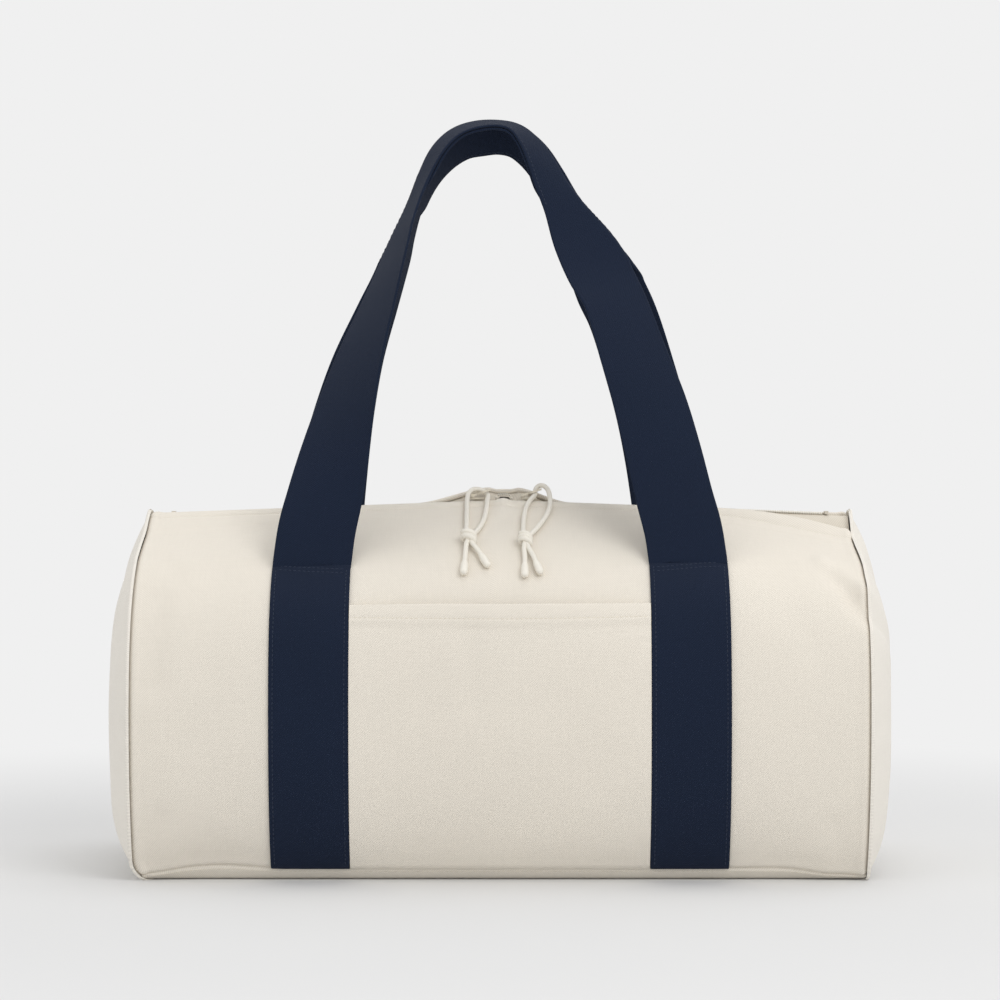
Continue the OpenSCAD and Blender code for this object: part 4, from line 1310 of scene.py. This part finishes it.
# %% Small finishes
def small_finish(name, colour, roughness, span, contrast, depth, plain=(), strands=None):
    """A finish with specks of that span. strands are the pitch of fine lines across and along a cord."""
    finish, tree, shader = new_finish(name, {"Roughness": roughness, **dict(plain)})
    coordinates = add_node(tree, "TexCoord", {})
    share = height = specks(tree, coordinates.outputs["Object"], span)
    if strands:
        lines = waves(tree, coordinates.outputs["UV"], "DIAGONAL", strands, 0.5)
        share = weighted(tree, [(share, 0.6), (lines, 0.4)])
        height = weighted(tree, [(share, 0.3), (lines, 0.7)])
    dress(tree, shader, colour, contrast, share, height, 0.6, depth)
    return finish


coil_finish = small_finish("coil_nylon", linear(238, 234, 224), 0.45, 2 * MM, 0.05, 0.05 * MM)
stop_finish = small_finish("end_stop", linear(212, 204, 190), 0.55, 2 * MM, 0.05, 0.05 * MM)
paint_finish = small_finish("slider_paint", linear(222, 214, 196), 0.38, 3 * MM, 0.05, 0.05 * MM,
                            {"Coat Weight": 0.3, "Coat Roughness": 0.25})
cord_finish = small_finish("pull_cord", linear(236, 231, 220), 0.85, 4 * MM, 0.05, 0.12 * MM,
                           {"Sheen Weight": 0.15}, 0.8 * MM)
tip_finish = small_finish("cord_tip", linear(238, 233, 222), 0.5, 3 * MM, 0.04, 0.08 * MM)
cream_thread = small_finish("cream_thread", linear(224, 216, 200), 0.8, 1.5 * MM, 0.1, 0.1 * MM)
navy_thread = small_finish("navy_thread", linear(24, 37, 60), 0.7, 1.5 * MM, 0.2, 0.1 * MM)
give(coil_finish, zip_pieces["zip_coil"])
give(stop_finish, [frame["nodes"]["zip_end_stops"]])
give(paint_finish, [frame["nodes"][part + hand]
                    for part in ("slider", "puller") for hand in ("_left", "_right")])
give(cord_finish, cord_pieces)
give(tip_finish, tip_pieces)
give(cream_thread, cream_stitches)
give(navy_thread, navy_stitches)
print("small finishes: coil, paint, cord, tips and two threads")

# %% [markdown]
# The bag stands on a plain pale floor that runs out into a pale surround, as in a photographer's cove.
# Near the bag the floor is a real surface and takes the shadow. Further out it glows in the colour of
# the surround, for the camera and for reflections only, so that no horizon shows and no extra light
# falls on the bag. A wide soft lamp stands up at the front right, one hangs overhead and a weak one
# stands at the left. The surround fills the shadows.

# %% Floor and light
SURROUND = linear(240, 240, 240)
FLOOR_COLOUR = linear(225, 225, 225)
FLOOR_NEAR = 0.42
FLOOR_FAR = 1.0
AMBIENT = 0.8
LAMP_SIZE = 1.5
# Each lamp's place in metres and its power in watts
LAMPS = {"key_light": ((1.4, -2.0, 1.9), 21),
         "top_light": ((0.3, 0.4, 2.6), 10),
         "fill_light": ((-2.2, -0.8, 1.0), 3)}
LAMPS_AIM = Vector((0, 0, 0.15))


def seen_directly(tree):
    """1 for rays from the camera, or off gloss or through glass, and 0 for light on its way."""
    path = add_node(tree, "LightPath", {}).outputs
    return weighted(tree, [(path["Is Camera Ray"], 1.0), (path["Is Glossy Ray"], 1.0),
                           (path["Is Transmission Ray"], 1.0)])


bpy.ops.mesh.primitive_plane_add(size=14, location=(0, 0, 0))
floor = bpy.context.object
floor.name = "floor"
floor_finish = bpy.data.materials.new("floor")
floor_finish.use_nodes = True
tree = floor_finish.node_tree
tree.nodes.remove(tree.nodes["Principled BSDF"])
place = add_node(tree, "TexCoord", {}).outputs["Object"]
away = add_node(tree, "VectorMath", {0: place}, operation="LENGTH").outputs["Value"]
far = add_node(tree, "MapRange", {"Value": away, "From Min": FLOOR_NEAR, "From Max": FLOOR_FAR},
               interpolation_type="SMOOTHSTEP").outputs[0]
share = add_node(tree, "Math", {0: far, 1: seen_directly(tree)},
                 operation="MULTIPLY", use_clamp=True).outputs[0]
surface = add_node(tree, "BsdfDiffuse", {"Color": FLOOR_COLOUR}).outputs[0]
glow = add_node(tree, "Emission", {"Color": SURROUND, "Strength": 1.0}).outputs[0]
floor_shader = add_node(tree, "MixShader", {0: share, 1: surface, 2: glow})
tree.links.new(floor_shader.outputs[0], tree.nodes["Material Output"].inputs["Surface"])
give(floor_finish, [floor])

world = bpy.data.worlds.new("studio")
bpy.context.scene.world = world
world.use_nodes = True
tree = world.node_tree
ambient = tree.nodes["Background"]
ambient.inputs["Color"].default_value = (1, 1, 1, 1)
ambient.inputs["Strength"].default_value = AMBIENT
surround = add_node(tree, "Background", {"Color": SURROUND, "Strength": 1.0})
world_shader = add_node(tree, "MixShader", {0: seen_directly(tree), 1: ambient.outputs[0],
                                            2: surround.outputs[0]})
tree.links.new(world_shader.outputs[0], tree.nodes["World Output"].inputs["Surface"])

for name, (spot, power) in LAMPS.items():
    bpy.ops.object.light_add(type="AREA", location=spot)
    lamp = bpy.context.object
    lamp.name = name
    lamp.data.energy = power
    lamp.data.size = LAMP_SIZE
    lamp.rotation_euler = (LAMPS_AIM - lamp.location).to_track_quat("-Z", "Y").to_euler()
bpy.context.scene.view_settings.view_transform = "Standard"
print("floor, surround and lamps are set")

# %% [markdown]
# Nothing may reach below the floor that the bag stands on, so the canvas is pressed flat there. All
# canvas rides on the bag's body.

# %% Canvas on the floor
for piece in canvas_pieces:
    spots = np.empty(len(piece.data.vertices) * 3)
    piece.data.vertices.foreach_get("co", spots)
    spots[2::3] = np.maximum(spots[2::3], 0)
    piece.data.vertices.foreach_set("co", spots)
    piece.data.update()
    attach(piece, "bag")
print(len(canvas_pieces), "pieces of canvas ride on the bag")

# %% Last cell
import json
